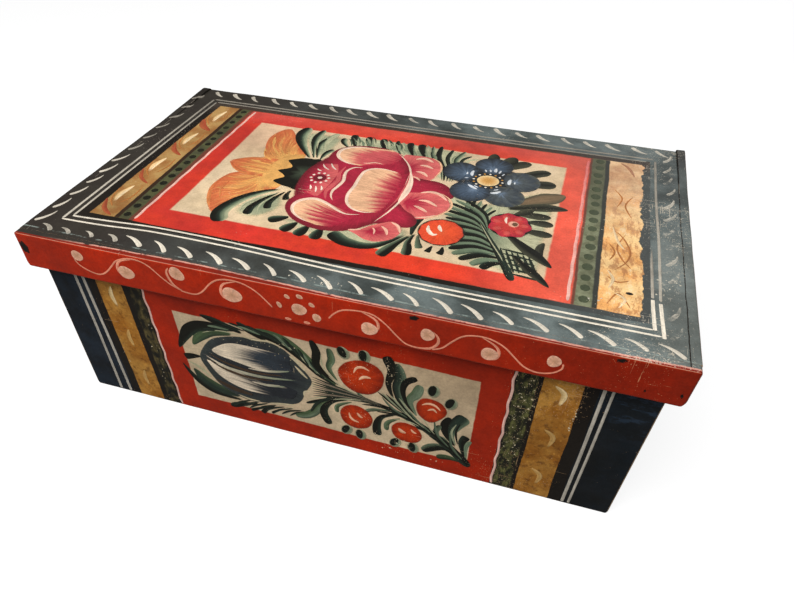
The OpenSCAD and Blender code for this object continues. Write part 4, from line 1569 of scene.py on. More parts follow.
def paint_rose(canvas, c):
    """Large crimson rose with cream-edged petals."""
    deep = blend(c.crimson, c.black, 0.6)
    rosy = blend(c.crimson, c.pink, 0.5)
    coral = blend(rosy, blend(c.pink, c.coral, 0.2), 0.35)
    lobe = [c.crimson, c.crimson, rosy, coral, blend(coral, c.pink, 0.6)]
    canvas.dot(-14, -2, 37, 53, [deep, deep], soft=6, count=48)
    canvas.petal(
        [(2, 42), (8, 45.5), (16, 46), (23, 44), (28, 36.5), (29.4, 27), (27, 18), (22, 13), (8, 12)],
        (8, 26), lobe, feather=0.12, soft=1.6)
    canvas.petal(
        [(14, 15), (24, 16.6), (33, 15.4), (40, 9.4), (43, 0), (34, -4), (15, -4)], (18, 5),
        [c.crimson, c.crimson, deep])
    canvas.petal(
        [(17, -1), (25, 3.4), (34, 4), (41, -1.6), (44, -10), (40.5, -19), (32, -27.5), (22, -28),
         (15, -16)], (19, -12), lobe, feather=0.12, soft=1.6)
    canvas.petal(
        [(13, -16), (22, -21), (29.6, -30), (27, -38), (16, -39), (5, -37)], (14, -26),
        [c.crimson, c.crimson, deep])
    canvas.petal(
        [(-12, 49.5), (-4, 46.6), (1.6, 42), (8.4, 32), (13, 20), (16.6, 3), (16, -10), (13.6, -21),
         (10, -32), (5, -43), (-2, -50.5), (-12, -54.6), (-24, -54.6), (-36, -49.6), (-44.4, -40),
         (-46, -30), (-42.6, -20.5), (-46.6, -12), (-49.4, 0), (-48, 12), (-42.6, 21), (-42.6, 33),
         (-38.4, 42), (-28, 48.4)], (-4, -4), [c.crimson, c.crimson, c.crimson, c.crimson, deep], count=72,
        soft=1.6)
    canvas.petal(
        [(-4, -49.5), (2, -47.4), (7, -41.4), (13, -36.4), (18, -33.6), (23.4, -37.6), (25, -44),
         (21.6, -52), (14, -56.6), (7, -55.6), (1, -52.4)], (9, -47), lobe, feather=0.12, soft=1.6)
    peach = blend(c.blush, c.yellow, 0.35)
    canvas.loft(
        [(-6, 47.6), (-18, 47), (-29, 45.4), (-36.6, 40.4), (-38.2, 33.6), (-35.6, 27), (-29, 22.4),
         (-20, 21)], [(1, 43), (2.4, 39), (2.4, 36), (1.6, 33), (0, 30.4), (-3, 28), (-7, 26.4), (-13, 25)],
        [peach, peach, rosy, rosy, rosy, blend(rosy, c.crimson, 0.5), c.crimson], feather=0.1)
    canvas.loft(
        [(-44, 17), (-47.4, 6), (-46.8, -4), (-43, -20)], [(-33, 19), (-29, 8), (-29, -6), (-31, -22)],
        [deep, c.crimson, rosy, coral])
    canvas.brush(
        [(-27.6, 18), (-28.4, 8), (-26.6, 0), (-27.8, -9), (-28.4, -16), (-25, -25)], 3.6, [rosy], leaf)
    canvas.loft(
        [(2, 20.8), (-5, 21.2), (-11, 19.6), (-14.8, 14), (-15.2, 4), (-15, -6), (-15.2, -16),
         (-12.4, -24.4), (-7, -28.8), (3, -29)],
        [(5, 20.4), (8.4, 16), (9.4, 11), (10, 5), (10.4, -1), (10.4, -7), (10, -13), (9.4, -19),
         (8, -24.4), (6, -28.4)], [peach, peach, peach, rosy, c.crimson], feather=0.16)
    canvas.loft(
        [(-13, -32.4), (-22, -27.4), (-31, -24.4), (-38.2, -28), (-40.8, -34.6), (-38.2, -41.6),
         (-31, -47.2), (-21, -50.4)],
        [(-2, -34), (-3, -36), (-4, -38), (-5, -40), (-6, -42), (-8, -44.4), (-10, -47), (-13, -50)],
        [peach, peach, rosy, c.crimson, c.crimson], feather=0.2)
    for points in (
        [(-31, -37), (-22, -37.6), (-12, -36.4)], [(-31, -41), (-22, -42.4), (-12, -41)],
        [(-28, -45), (-20, -46.6), (-12, -45)], [(-26, -33), (-17, -36.4), (-8, -37.6)]
    ):
        canvas.brush(points, 1.5, [rosy, c.crimson], tail=[c.crimson], shape=leaf)
    edge = [blend(c.line, c.blush, 0.4), blend(c.line, c.blush, 0.7)]
    soft = [blend(c.line, c.blush, 0.8), blend(c.blush, c.pink, 0.4)]
    canvas.strokes((
        ([(-18, 46.4), (-29, 45), (-36.4, 40), (-38, 33.6), (-35.2, 27), (-28.6, 22.6), (-20.5, 21.2)], 2.8,
         edge),
        ([(-17, 19), (-22, 18), (-25, 13), (-24.8, 7), (-23.2, 0), (-24.2, -8), (-25.2, -13), (-24, -19),
          (-20, -25.6)], 2.6, edge),
        ([(5, 19.6), (-4, 21.4), (-10.6, 20), (-14.8, 15), (-15.4, 6), (-15, -4), (-15.4, -14), (-13, -23),
          (-7, -29), (1, -29.8), (7, -26.6)], 2.6, edge),
        ([(-2, -33), (-9, -34.8), (-15, -32.6), (-23, -27.6), (-31, -24.6), (-38, -28), (-40.6, -34.6),
          (-38, -41.6), (-31, -47), (-22, -50)], 2.8, edge),
        ([(-1.4, 44), (3.4, 38.4), (8.4, 31), (12, 22), (14.6, 10), (15.4, -2), (14.6, -14), (12.4, -24),
          (9.4, -33), (5.8, -42)], 2, edge), ([(12, 22), (14.4, 11), (15.4, -2), (14.4, -15)], 5, edge),
        ([(-19, 25), (-15.6, 26), (-12, 28), (-6, 27)], 1.8, soft),
        ([(10.4, 40), (16, 42.6), (22.4, 39)], 3.4, soft), ([(15, 33), (19, 33.4), (24, 31)], 3, soft),
        ([(14.6, 24.6), (19, 24), (23, 20)], 3, soft), ([(13.6, 18), (17, 17), (20, 14)], 2, soft),
        ([(23.4, 0.2), (29, 3), (35, 1.6), (40.4, -4.4)], 3.2, soft),
        ([(24.6, -8), (30, -7.8), (36.6, -12)], 3, soft),
        ([(23.6, -14.6), (28, -16.4), (32.6, -19.6)], 2.8, soft),
        ([(27, -26.6), (33, -24.6), (38, -20.6)], 2, soft),
        ([(16.6, -35.4), (21, -38), (24, -44.6)], 2.4, soft),
        ([(12.6, -40.6), (16, -43.6), (18, -48.6)], 2.4, soft),
        ([(8.6, -43.6), (10.4, -46), (11, -50)], 1.6, soft),
        ([(-3.4, -49.4), (0, -48.6), (3.6, -47)], 2, soft),
        ([(2, -52), (8, -55), (15, -55.6)], 1.8, [coral]),
        ([(20, 45), (26, 40), (28.8, 30), (26.4, 19)], 1.8, [peach]),
        ([(35, 3.4), (41.4, -2), (43.8, -10), (40.4, -18.6), (32.6, -26.6)], 1.8, [peach]),
        ([(11, 24), (13, 12), (13.2, -2), (12.4, -14), (9, -28)], 1.6, [rosy])
    ), shape=leaf)


def paint_blue_flower(canvas, c):
    """Five dark blue petals round a cream eye."""
    dusk = blend(c.navy, c.black, 0.6)
    steel = srgb(112, 130, 150)
    blue = srgb(70, 84, 100)
    dull = srgb(84, 86, 78)
    white = [srgb(232, 232, 230), srgb(196, 204, 212)]
    eye = Vector((58, 26.6))
    canvas.dot(eye.x + 1, eye.y, 22, 22, [dusk, dusk, dusk], soft=5)
    for u, v, half_u, half_v, rim in (
        (77, 31, 12, 12.6, dull), (70, 10.6, 12.4, 12.2, dull), (58.6, 46, 12.4, 11.4, dusk),
        (50, 11, 12.4, 12.4, dusk), (40.4, 33.2, 11.6, 13, dusk)
    ):
        middle = Vector((u, v))
        focus = middle - (middle - eye).normalized() * 4
        body = blend(blue, rim, 0.6) if rim == dull else blue
        tones = [steel, body, body, c.navy, rim]
        canvas.petal(ring((u, v), half_u, half_v, 12), focus, tones, 0.16, 44, feather=0.15, soft=1.5)
    canvas.dot(eye.x, eye.y, 9.6, 9.4, [dusk, dusk])
    canvas.strokes((
        ([(47.6, 37), (47.2, 33), (48, 28.4)], 2.6), ([(44.4, 34), (44.6, 30.4)], 1.6),
        ([(57, 41), (57.8, 37.6)], 1.8), ([(60, 43.6), (60.4, 37.6)], 2.6),
        ([(63.4, 41.6), (62.6, 37)], 1.8), ([(54, 40), (55.4, 37)], 1.6),
        ([(70.6, 32.6), (70.2, 28), (70.8, 24.4)], 2.8), ([(73.4, 30), (73.4, 26.6)], 1.4),
        ([(47.4, 18.8), (50.4, 16.6), (54.8, 13.8)], 2.6), ([(51, 18.6), (54.4, 16.6)], 1.4),
        ([(61.6, 12.6), (64.6, 13.6), (68.4, 17.4)], 2.8), ([(63, 16.4), (66, 18.4)], 1.6),
        ([(44, 26), (46.6, 27.4)], 1.4), ([(66, 38), (64.6, 35)], 1.4)
    ), tones=white, shape=leaf, dry=0.4)
    for k, (u, v) in enumerate(ring(eye, 8.5, 8.3, 16)):
        canvas.dot(u, v, 1.0, 1.0, [c.ochre if k % 2 else c.line], count=10, rings=2)
    canvas.dot(eye.x, eye.y, 6.8, 6.7, [srgb(206, 152, 78), c.yellow, srgb(244, 216, 160)])


def paint_round_flowers(canvas, c):
    """Orange-red flowers with cream dabs."""
    rim = blend(c.orange, c.crimson, 0.25)
    glow = blend(c.orange, c.coral, 0.4)
    canvas.dot(44.2, -36.6, 13.6, 14.2, [c.leaf, c.leaf], soft=2.4)
    canvas.dot(
        44.2, -36.6, 12.6, 13.2, [glow, c.orange, c.orange, rim], lobes=11, depth=0.02, count=96, soft=2.2)
    wine = blend(c.crimson, c.orange, 0.4)
    pale = blend(wine, c.pink, 0.4)
    canvas.dot(77.6, -18.6, 12.6, 13.4, [c.leaf, c.leaf], soft=2.4)
    canvas.dot(77.6, -18.6, 11.6, 12.4, [wine, wine, c.crimson], lobes=7, depth=0.08, count=84, soft=1.4)
    for k, (u, v) in enumerate(ring((77.6, -18.6), 7.6, 8.2, 7, 0.2)):
        canvas.dot(u, v, 3.6, 2.8, [pale, wine], 2 * math.pi * (k + 0.2) / 7, soft=2)
    canvas.dot(79.4, -17, 3.6, 3.8, [c.crimson, c.blush, wine], soft=1.4)
    canvas.dot(80, -17, 1.9, 2.2, [srgb(104, 74, 52)])
    dab = [c.line, blend(c.line, c.blush, 0.5)]
    canvas.strokes((
        ([(36.4, -32), (37.2, -36.6), (40.4, -40.4), (43, -39)], 3),
        ([(41.8, -30), (42.6, -33), (44.6, -36.4)], 2.6), ([(75, -10.6), (74.8, -14), (75.8, -17.6)], 2)
    ), tones=dab, shape=leaf)


class PAINTEDBOX_OT_lid_flowers(bpy.types.Operator):
    """Paints the rose, the blue flower, the feathered flower and the leaves on the lid's panel."""
    bl_idname = "painted_box.lid_flowers"
    bl_label = "Lid Flowers"

    def execute(self, context):
        c = colours()
        canvas = lid_canvas(31)
        for draw in (
            paint_washes, paint_feathered_flower, paint_left_leaves, paint_upper_leaves, paint_right_leaves,
            paint_rose, paint_stamens, paint_blue_flower, paint_round_flowers
        ):
            draw(canvas, c)
        paint = material("flower_strokes", stroke_paint, c.cream, 0.25)
        add_piece("lid_flowers", canvas.mesh("lid_flowers", paint), "lid", "lid_paint")
        return {"FINISHED"}


def paint_vine(canvas, c):
    """Scrolls with blossoms and dots, and dark dabs for the chipped dents in the rail: bare iron and
    painted shade of the dents.
    """
    pale = [srgb(200, 150, 114), srgb(226, 170, 138), srgb(238, 184, 154)]
    rosy = [srgb(232, 138, 108), srgb(240, 166, 134)]
    for points in (
        [(-135.6, 108.2), (-133.7, 104.5), (-128.7, 101.7), (-122.5, 100.7), (-117.5, 103.2),
         (-112.5, 108.2), (-108.7, 112), (-102.5, 114.7), (-96.2, 115.2), (-90, 113.2), (-83.7, 107.6),
         (-78.7, 103.9), (-72.5, 101.4)],
        [(-74, 101.4), (-66.2, 101), (-61.2, 103.9), (-56.2, 109.5), (-51.2, 113.2), (-45, 114.7),
         (-37.5, 114.2), (-31.2, 111.4), (-26.2, 107), (-22.7, 103.2)],
        [(6.5, 103.9), (9.4, 107.6), (13.7, 110.7), (21.2, 112.2), (28.7, 111.7), (35, 107.6), (40, 102.6),
         (45, 98.5), (51.2, 97.6), (57.5, 98.5)],
        [(57.5, 98.2), (62.5, 100.7), (66.2, 105.1), (71.2, 110.1), (77.5, 112), (83.7, 111.7), (90, 108.9),
         (95, 104.5), (100, 100.1), (106.2, 98.2), (112.5, 99.7), (116.2, 103.2), (116.2, 106.4)]
    ):
        canvas.brush(points, 1.35, rosy, line)
    for points in (
        [(-99, 114.8), (-106.2, 112.6), (-109, 108.9), (-109.2, 105.4), (-106.6, 102.6)],
        [(-72.5, 101.4), (-76.9, 103.9), (-79.4, 108.2), (-79.7, 112), (-77.6, 115)],
        [(-41, 114.4), (-48.1, 111.6), (-50.4, 107), (-49.4, 103.4), (-46, 101.6)],
        [(22, 112.4), (29.4, 109.5), (31.5, 105.7), (30.2, 102), (27, 99.6)],
        [(50, 97.6), (56.9, 98.9), (60.2, 102.6), (59.9, 106.4), (57, 109.6)],
        [(79, 112.2), (86.2, 108.4), (88.3, 104.5), (87.4, 101), (84, 99.4)]
    ):
        canvas.brush(points, 2, rosy, leaf)
    for u, v, half_u, half_v, turn in (
        (-132.8, 110.1, 3.7, 3.4, 0), (-104.6, 105.7, 5, 4.1, 0), (-74, 111.7, 4.6, 4, -0.5),
        (-44.4, 105.7, 5.7, 4.6, 0), (26.9, 102.8, 4.4, 4, 0), (55, 106.6, 3.6, 3.8, 0),
        (84.1, 103, 4.2, 3.9, 0), (112.2, 106.7, 3.4, 3.6, 0), (-8.7, 105.5, 4.3, 3.6, 0.1),
        (-14.4, 112, 1.9, 1.3, -0.6), (-7.9, 113.4, 2.1, 1.4, -0.3), (-1.9, 109.9, 2, 1.3, -0.5),
        (0.3, 102.6, 2.5, 2.7, 0.2), (-19, 106, 1.4, 2.2, 0.5)
    ):
        canvas.dot(u, v, half_u, half_v, pale, turn, 3, 0.05)
    for u in (-15, -5):
        canvas.dot(u, 98.2, 2.1, 1, rosy)
    # Dark dabs for dents: dark bare iron at the nails and painted shade inside the dents.
    dent_iron_and_shade = [c.black, c.black, srgb(70, 20, 12)]
    for u, v, half_u, half_v in (
        (48.1, 114.8, 2.8, 1.6), (138.5, 115, 2.8, 1.4), (-166.4, 108.6, 2.6, 4.2), (152, 101, 0.8, 1.2),
        (166.6, 102.4, 0.9, 1.8)
    ):
        canvas.dot(u, v, half_u, half_v, dent_iron_and_shade, 0.2, 5, 0.12, soft=0.9)


class PAINTEDBOX_OT_rail_vine(bpy.types.Operator):
    """Paints the scrolling vine along the front rail."""
    bl_idname = "painted_box.rail_vine"
    bl_label = "Rail Vine"

    def execute(self, context):
        c = colours()
        canvas = rail_canvas(41)
        paint_vine(canvas, c)
        paint = material("rail_strokes", stroke_paint, c.red, 0.4)
        add_piece("rail_vine", canvas.mesh("rail_vine", paint), "lid", "rail_paint")
        return {"FINISHED"}


def paint_front_lines(canvas, c):
    """Upright lines and the ochre strips' crescents."""
    top = 95.5
    foot = 0.7
    for upper, lower, width, grime in (
        (-146.2, -145.7, 2.8, 0.5), (-141.4, -138.6, 2.8, 0.5), (138, 139.2, 2.4, 0.4),
        (141.9, 142.6, 2, 0.4)
    ):
        points = [(upper, top), ((upper + lower) / 2 + 0.3, 48), (lower, foot)]
        canvas.brush(points, width, [blend(c.line, c.navy, grime)], line, soft=width * 0.32)
    rosy = [blend(c.line, c.pink, 0.45)]
    for upper, lower in ((-104.1, -100.6), (97.6, 99)):
        points = wavering((upper, top), (lower, foot), 18, 0.45, 2.3)
        canvas.brush(points, 2.1, rosy, line, soft=0.9)
    canvas.specks(
        [srgb(236, 220, 184), srgb(196, 180, 148)],
        (((104, 62), (6, 36), 70), ((104, 34), (6, 30), 20), ((129.6, 68), (1.6, 12), 18),
         ((38, 9), (8, 3), 9), ((66, 8), (5, 2), 6), ((46, 15), (14, 3), 12), ((-108, 50), (5, 44), 16),
         ((-131, 32), (2, 28), 8)))
    bright = [srgb(238, 216, 168), srgb(216, 176, 108)]
    worn = [srgb(206, 168, 106), srgb(184, 136, 68)]
    for u, v, side, tones in (
        (-125.3, 80.5, -1, bright), (-123.6, 50, -1, worn), (-122.6, 17, -1, worn), (119.6, 80, 1, bright),
        (121, 49, 1, worn), (121, 16.5, 1, worn)
    ):
        lens = [(u + 1, v + 8), (u - 0.4, v + 1), (u + 1.6, v - 8)]
        crescent = [(u - 3, v + 7), (u + 2.4, v + 2), (u + 0.6, v - 8)]
        canvas.brush(lens if side < 0 else crescent, 3.8, tones, leaf, dry=0.4, soft=1)


def paint_tulip_leaves(canvas, c):
    """Leaves round the tulip."""
    ink = c.leaf
    moss = srgb(74, 92, 62)
    canvas.strokes((
        ([(-80, 58), (-74, 66), (-66, 71.4), (-52, 73)], 8, [moss, moss, c.pine], leaf),
        ([(-90, 53), (-84.6, 63), (-79, 70), (-69, 75), (-44, 77)], 8.4, [ink, ink, ink, c.pine], leaf),
        ([(-72, 69), (-62, 73.2), (-48, 73.6)], 1.3, [c.mist], leaf),
        ([(-84, 38), (-78, 30), (-70, 25.6), (-54, 22.6)], 9, [moss, c.pine, c.pine], leaf),
        ([(-91, 40.6), (-85.6, 31.6), (-79, 25), (-70, 20.8), (-52, 19.6)], 5.4, [c.pine, ink, ink], leaf),
        ([(-86.6, 43.4), (-79, 39.6), (-73, 33.6)], 2.6, [c.mist], leaf),
        ([(-88, 46.4), (-82, 48.6), (-76, 49.6)], 5.4, [ink], comma),
        ([(-71, 82), (-60, 79.4), (-46, 75)], 5, [c.pine, ink, ink], leaf),
        ([(-49, 82.6), (-43, 79), (-32, 73.4)], 5, [c.pine, ink, ink], leaf),
        ([(-42, 81.4), (-35, 78), (-26, 73)], 3, [c.sage, ink], leaf),
        ([(-64, 12), (-56, 15.6), (-44, 20.4)], 5, [c.pine, ink, ink], blade),
        ([(-50, 12.4), (-44, 16), (-34, 21)], 3, [ink], comma),
        ([(-42.4, 12.6), (-39, 17), (-32, 23)], 4, [ink], comma),
        ([(-36, 14.4), (-32, 18), (-24, 23)], 2.6, [ink], comma),
        ([(-40, 79), (-24, 76.4), (-12, 68), (-3, 58), (8, 51)], 9, [moss, moss, c.pine, ink, ink], blade),
        ([(-28, 76), (-17, 71), (-8, 62), (2, 54)], 1.6, [c.mist], leaf)
    ))
    rim = smooth_curve(
        [(-80, 58), (-70, 69), (-58, 74.4), (-44, 77), (-30, 76), (-18, 70), (-8, 60), (4, 52)], 22)
    for k in range(2, 18):
        way = rim[k + 3] - rim[k]
        out = Vector((-way.y, way.x)) * canvas.dice.uniform(0.2, 0.4)
        canvas.brush(
            [rim[k] + out, rim[k + 1] + out * 0.7, rim[k + 3]], 2.2, [ink, c.pine] if k % 4 else [c.sage],
            leaf)
    for k in range(8):
        u = -62 + 5.4 * k
        canvas.brush(
            [(u, 12.6 + 0.5 * k), (u + 5, 17 + 0.5 * k), (u + 14, 22 + 0.3 * k)], 2.2, [ink, c.pine], leaf)


def paint_tulip(canvas, c):
    """Dark tulip lying to the left, streaked with cream."""
    dusk = blend(c.navy, c.black, 0.55)
    blue = blend(c.navy, c.black, 0.15)
    pale = blend(c.cream, c.line, 0.5)
    brown = srgb(70, 54, 40)
    canvas.petal(
        [(-78, 49), (-74.4, 57.4), (-68, 65.4), (-60, 69.6), (-50, 72.4), (-35, 74), (-24, 71.4), (-17, 65),
         (-10, 56), (-7.4, 49.6), (-12, 40), (-15, 32), (-20, 27.4), (-30, 24), (-42, 21.6), (-50, 20.8),
         (-60, 23.6), (-69, 29.6), (-75, 40)], (-40, 48), [dusk, dusk, dusk, srgb(60, 66, 64)], count=64,
        feather=0.1, soft=1)
    canvas.loft(
        [(-36, 66.6), (-50, 66.6), (-58, 65.2), (-65, 61.2), (-69.4, 56.4), (-62, 52.8), (-54, 50.4),
         (-46, 49.4), (-36, 50.4)],
        [(-20, 66), (-19, 64), (-19, 62), (-19, 60), (-18, 58), (-18, 56.6), (-18, 55.4), (-20, 54),
         (-22, 53)], [pale, pale, blue, blue, dusk], feather=0.1)
    canvas.loft(
        [(-28, 41), (-40, 39.2), (-50, 39.8), (-60, 41.4), (-68, 44.4), (-74.6, 48.4), (-70.4, 40),
         (-65, 35), (-57, 31.2), (-48, 29.6)],
        [(-18, 40), (-17, 39), (-17, 38), (-17, 37), (-17, 36), (-17, 35), (-18, 34), (-19, 33), (-21, 32),
         (-24, 31)], [pale, pale, dusk, dusk, dusk], feather=0.1)
    canvas.brush([(-47, 49), (-36, 50), (-28, 52), (-20, 54.6)], 2.2, [pale], tail=[c.sage], shape=leaf)
    canvas.brush(
        [(-73, 51.4), (-66, 47.6), (-58, 45), (-44, 44.2), (-32, 45.4), (-14, 49)], 2.8, [pale],
        tail=[c.sage], shape=leaf)
    canvas.brush([(-46, 38.6), (-36, 38.6), (-24, 41)], 2.4, [pale], tail=[c.sage], shape=leaf)
    canvas.strokes((
        ([(-71, 54), (-62, 49.6), (-52, 47.4), (-40, 47), (-22, 50)], 2.6),
        ([(-73, 49.4), (-64, 44.4), (-55, 42.2), (-45, 41.6), (-28, 43.8)], 2.6),
        ([(-70, 33), (-60, 28.6), (-46, 26.6)], 4)
    ), tones=[brown], shape=leaf)
    lace = [blend(c.mist, c.cream, 0.5)]
    canvas.strokes((
        ([(-48, 73), (-40, 72.6), (-30, 73.4), (-22, 70)], 1.8),
        ([(-20, 66.4), (-15.6, 63.4), (-11, 57)], 3), ([(-17.4, 60), (-13.6, 55.4), (-10, 51.6)], 2.2),
        ([(-4.6, 48.4), (-7.4, 48.4), (-7.6, 45.6)], 1.8), ([(-9, 42.4), (-12.8, 40.6), (-13.4, 36.6)], 2),
        ([(-37, 23), (-29, 25), (-19, 27)], 2), ([(-57, 24), (-50, 22.4), (-42, 22.6)], 1.8),
        ([(-27, 21.4), (-24, 23.4), (-19.6, 24.4)], 1.6)
    ), tones=lace, shape=leaf)
    for k in range(16):
        u = -66 + 3.1 * k + canvas.dice.uniform(-1, 1)
        v = 66.6 + 2.4 * math.sin(0.35 * k) + canvas.dice.uniform(-2, 2)
        canvas.dot(u, v, 0.5, 0.4, lace, count=8, rings=1)


def paint_spray_leaves(canvas, c):
    """Stem of the spray and its leaves."""
    ink = c.leaf
    moss = srgb(74, 92, 62)
    dark = [ink, ink, c.pine]
    pale = [c.sage, moss, c.pine]
    thin = [c.mist, c.sage]
    canvas.strokes((
        ([(-20, 18), (-13, 20.7), (-7.5, 25.7), (-3.6, 32), (4, 39), (16, 44)], 6.4,
         [moss, moss, c.sage, c.pine], blade),
        ([(-12.5, 31.6), (-2.5, 37), (6, 41.5), (18, 44.6)], 3.2, dark, blade),
        ([(-10, 25), (-6, 33), (1, 39.6), (13, 44)], 2.6, [c.pine, ink], blade),
        ([(-11, 35.4), (0, 40.8), (12, 43.8), (22, 45)], 1.4, [c.mist], leaf),
        ([(1.6, 17.6), (-1.7, 25.7), (-0.6, 32.6), (5, 39), (16, 43.4)], 6, dark, comma),
        ([(6.4, 30), (7, 36), (16, 42)], 3.4, pale, blade),
        ([(-6.7, 81.6), (-4, 74), (-4.4, 65), (1, 58), (9, 52)], 5.6, [ink], blade),
        ([(3, 78.6), (4.4, 71), (2.8, 64), (8, 55)], 5, pale, blade),
        ([(-1.4, 73), (-0.6, 64), (7, 55)], 1.4, [c.mist], leaf),
        ([(31, 18.6), (30.2, 27.3), (33.3, 35.7), (44, 41)], 6, dark, comma),
        ([(36, 25), (36.6, 32), (44, 38)], 3.8, pale, blade),
        ([(23, 36.6), (29, 40), (40, 42)], 3.2, [c.sage, ink], blade),
        ([(34, 82), (37.6, 73), (36, 62), (40, 50)], 6.4, [ink], comma),
        ([(40, 78.6), (42.4, 69), (41, 60.6), (43.6, 50.7), (50, 43)], 7, [c.sage, c.pine, ink], blade),
        ([(53, 67), (51.4, 60), (48, 53), (53, 42)], 6.4, [c.sage, c.sage, moss], blade),
        ([(51, 71), (45.6, 67), (44, 60), (46.6, 50.7), (53, 42)], 4.6, [ink], comma),
        ([(78.6, 51), (74, 43), (72, 34), (76.6, 24)], 9, [c.sage, c.pine, c.pine, ink], comma),
        ([(70.6, 48), (68, 41), (70, 33), (76, 25)], 5, [ink], blade),
        ([(74.4, 44), (72.4, 36), (76, 26)], 1.8, thin, leaf),
        ([(76.4, 45), (74.8, 37), (77, 27)], 1.8, [ink], leaf),
        ([(81, 36), (78.8, 29), (82, 16)], 5.4, dark, comma),
        ([(83.6, 33), (81.6, 27), (83, 15)], 3.2, [c.sage], blade),
        ([(57.6, 15), (63, 20), (70, 22), (78, 18)], 7, [c.sage, ink, ink], blade),
        ([(66, 12.6), (73, 14.4), (82, 13)], 5, [moss, ink], blade),
        ([(64, 29), (69, 29), (76, 20)], 4, [c.sage, ink], blade),
        ([(66, 40), (64, 34), (68, 27)], 4, [c.sage, ink], blade)
    ))
    for k in range(6):
        tones = thin if k % 2 else [ink]
        canvas.brush(
            [(30 + 2.4 * k, 55 - 0.2 * k), (38 + 2 * k, 48.8 - 0.6 * k), (48 + 1.4 * k, 41 - 0.8 * k)], 2.2,
            tones, leaf)
    stem = [(85.4, 10.6), (78, 18), (68, 27), (54, 36.4), (38, 43), (18, 46.6), (-6, 48)]
    canvas.brush(stem, 6.6, [c.pine, ink, ink])
    path = smooth_curve(stem, 40)
    for k in range(1, 33, 3):
        base = path[k]
        way = (path[k + 3] - base).normalized()
        side = Vector((-way.y, way.x)) * (1 if k % 2 else -1)
        reach = 17 + 7 * canvas.dice.random()
        bow = base + way * reach * 0.55 + side * reach * 0.08
        tip = base + way * reach + side * reach * canvas.dice.uniform(0.2, 0.42)
        canvas.brush([tip, bow, base], 2.2, [c.sage, c.pine] if k % 6 > 3 else [ink, ink, c.pine], leaf)
    for k in range(9):
        tones = [srgb(128, 112, 94)] if k % 3 == 1 else [c.pine, ink]
        canvas.brush(
            [(-8, 54.6 - 1.9 * k), (6, 51.2 - 1.1 * k), (22, 47.6 - 0.4 * k), (36, 44)], 2.3, tones, leaf,
            dry=0.3)
    for points in (
        [(2, 58), (10, 52), (20, 48.4)], [(4, 40), (12, 43), (22, 45)], [(44, 46), (50, 40), (58, 34.4)],
        [(56, 43), (58.6, 38), (64, 31)], [(40, 36), (48, 37), (55, 35)]
    ):
        canvas.brush(points, 1.2, [c.mist], leaf)


def paint_buds(canvas, c):
    """Orange-red flowers with cream arcs, and dark buds in pale halos."""
    warm = srgb(190, 54, 12)
    rim = srgb(136, 34, 10)
    halo = [c.sage, c.sage, blend(c.sage, c.cream, 0.5)]
    for u, v, turn in (
        (10.6, 78, 0.5), (22, 78.6, 0.1), (59.6, 65, -0.1), (69.4, 58.6, -0.3), (11.4, 17, -0.4),
        (20, 15.6, 0.1), (41, 16.4, -0.4), (51.6, 15.6, 0.2)
    ):
        canvas.dot(u + 0.6, v - 0.3, 4.2, 5.4, halo, turn, soft=1.8)
        canvas.dot(u, v, 2.6, 4.2, [c.leaf], turn)
    for outline, focus in (
        ([(7, 64), (12, 72), (21, 76), (30, 74), (34.4, 67), (32.6, 57), (26, 50.4), (17, 50), (10, 55)],
         (20, 62)),
        ([(51, 52), (54, 58.4), (60, 59.6), (66, 57.4), (69.4, 51), (66, 44), (60, 39.6), (53, 44)],
         (60, 49)),
        ([(7.4, 31), (11, 38), (18, 40.6), (25, 37.6), (28.6, 31), (26, 23), (18, 19.4), (10, 22.6)],
         (18, 30)),
        ([(38, 29), (41.6, 34.6), (48, 36), (54.6, 33), (57.6, 26), (54, 19.6), (46, 18.4), (40, 21.6)],
         (47.6, 27))
    ):
        canvas.petal(outline, focus, [warm, warm, rim], 0.1, feather=0.12, soft=1.8)
    arc = [srgb(240, 196, 160), srgb(228, 160, 120)]
    canvas.strokes((
        ([(16.6, 64.6), (18.4, 69), (22, 70.4), (26, 68.6)], 2.2),
        ([(19.6, 60.6), (22.6, 63.6), (26.6, 63.8)], 2.6),
        ([(54.6, 52.6), (58, 54.8), (62, 54.4), (65.4, 51)], 2.2),
        ([(58, 49.4), (61, 51.2), (63.4, 49)], 2),
        ([(13.6, 32.6), (14.4, 28.6), (17, 26.4), (20, 26)], 2.2),
        ([(18.4, 34), (20, 31.4), (22, 30.6)], 2.2), ([(43, 29.6), (44.6, 27.4), (47.6, 26.6)], 3),
        ([(50, 31), (51.6, 29), (53.6, 28.6)], 2)
    ), tones=arc, shape=leaf)
    canvas.specks(
        [srgb(226, 208, 172), srgb(190, 174, 142)],
        (((27, 20), (6, 2.4), 12), ((45, 16.6), (8, 3), 16), ((-30, 72), (18, 3), 16),
         ((36, 70), (2, 9), 14)))


class PAINTEDBOX_OT_front_flowers(bpy.types.Operator):
    """Paints the tulip spray, the lines and the crescents on the front board."""
    bl_idname = "painted_box.front_flowers"
    bl_label = "Front Flowers"

    def execute(self, context):
        c = colours()
        canvas = front_canvas(51)
        for draw in (paint_front_lines, paint_tulip_leaves, paint_tulip, paint_spray_leaves, paint_buds):
            draw(canvas, c)
        paint = material("front_strokes", stroke_paint, c.cream, 0.35)
        add_piece("front_flowers", canvas.mesh("front_flowers", paint), "box", "front_paint")
        return {"FINISHED"}


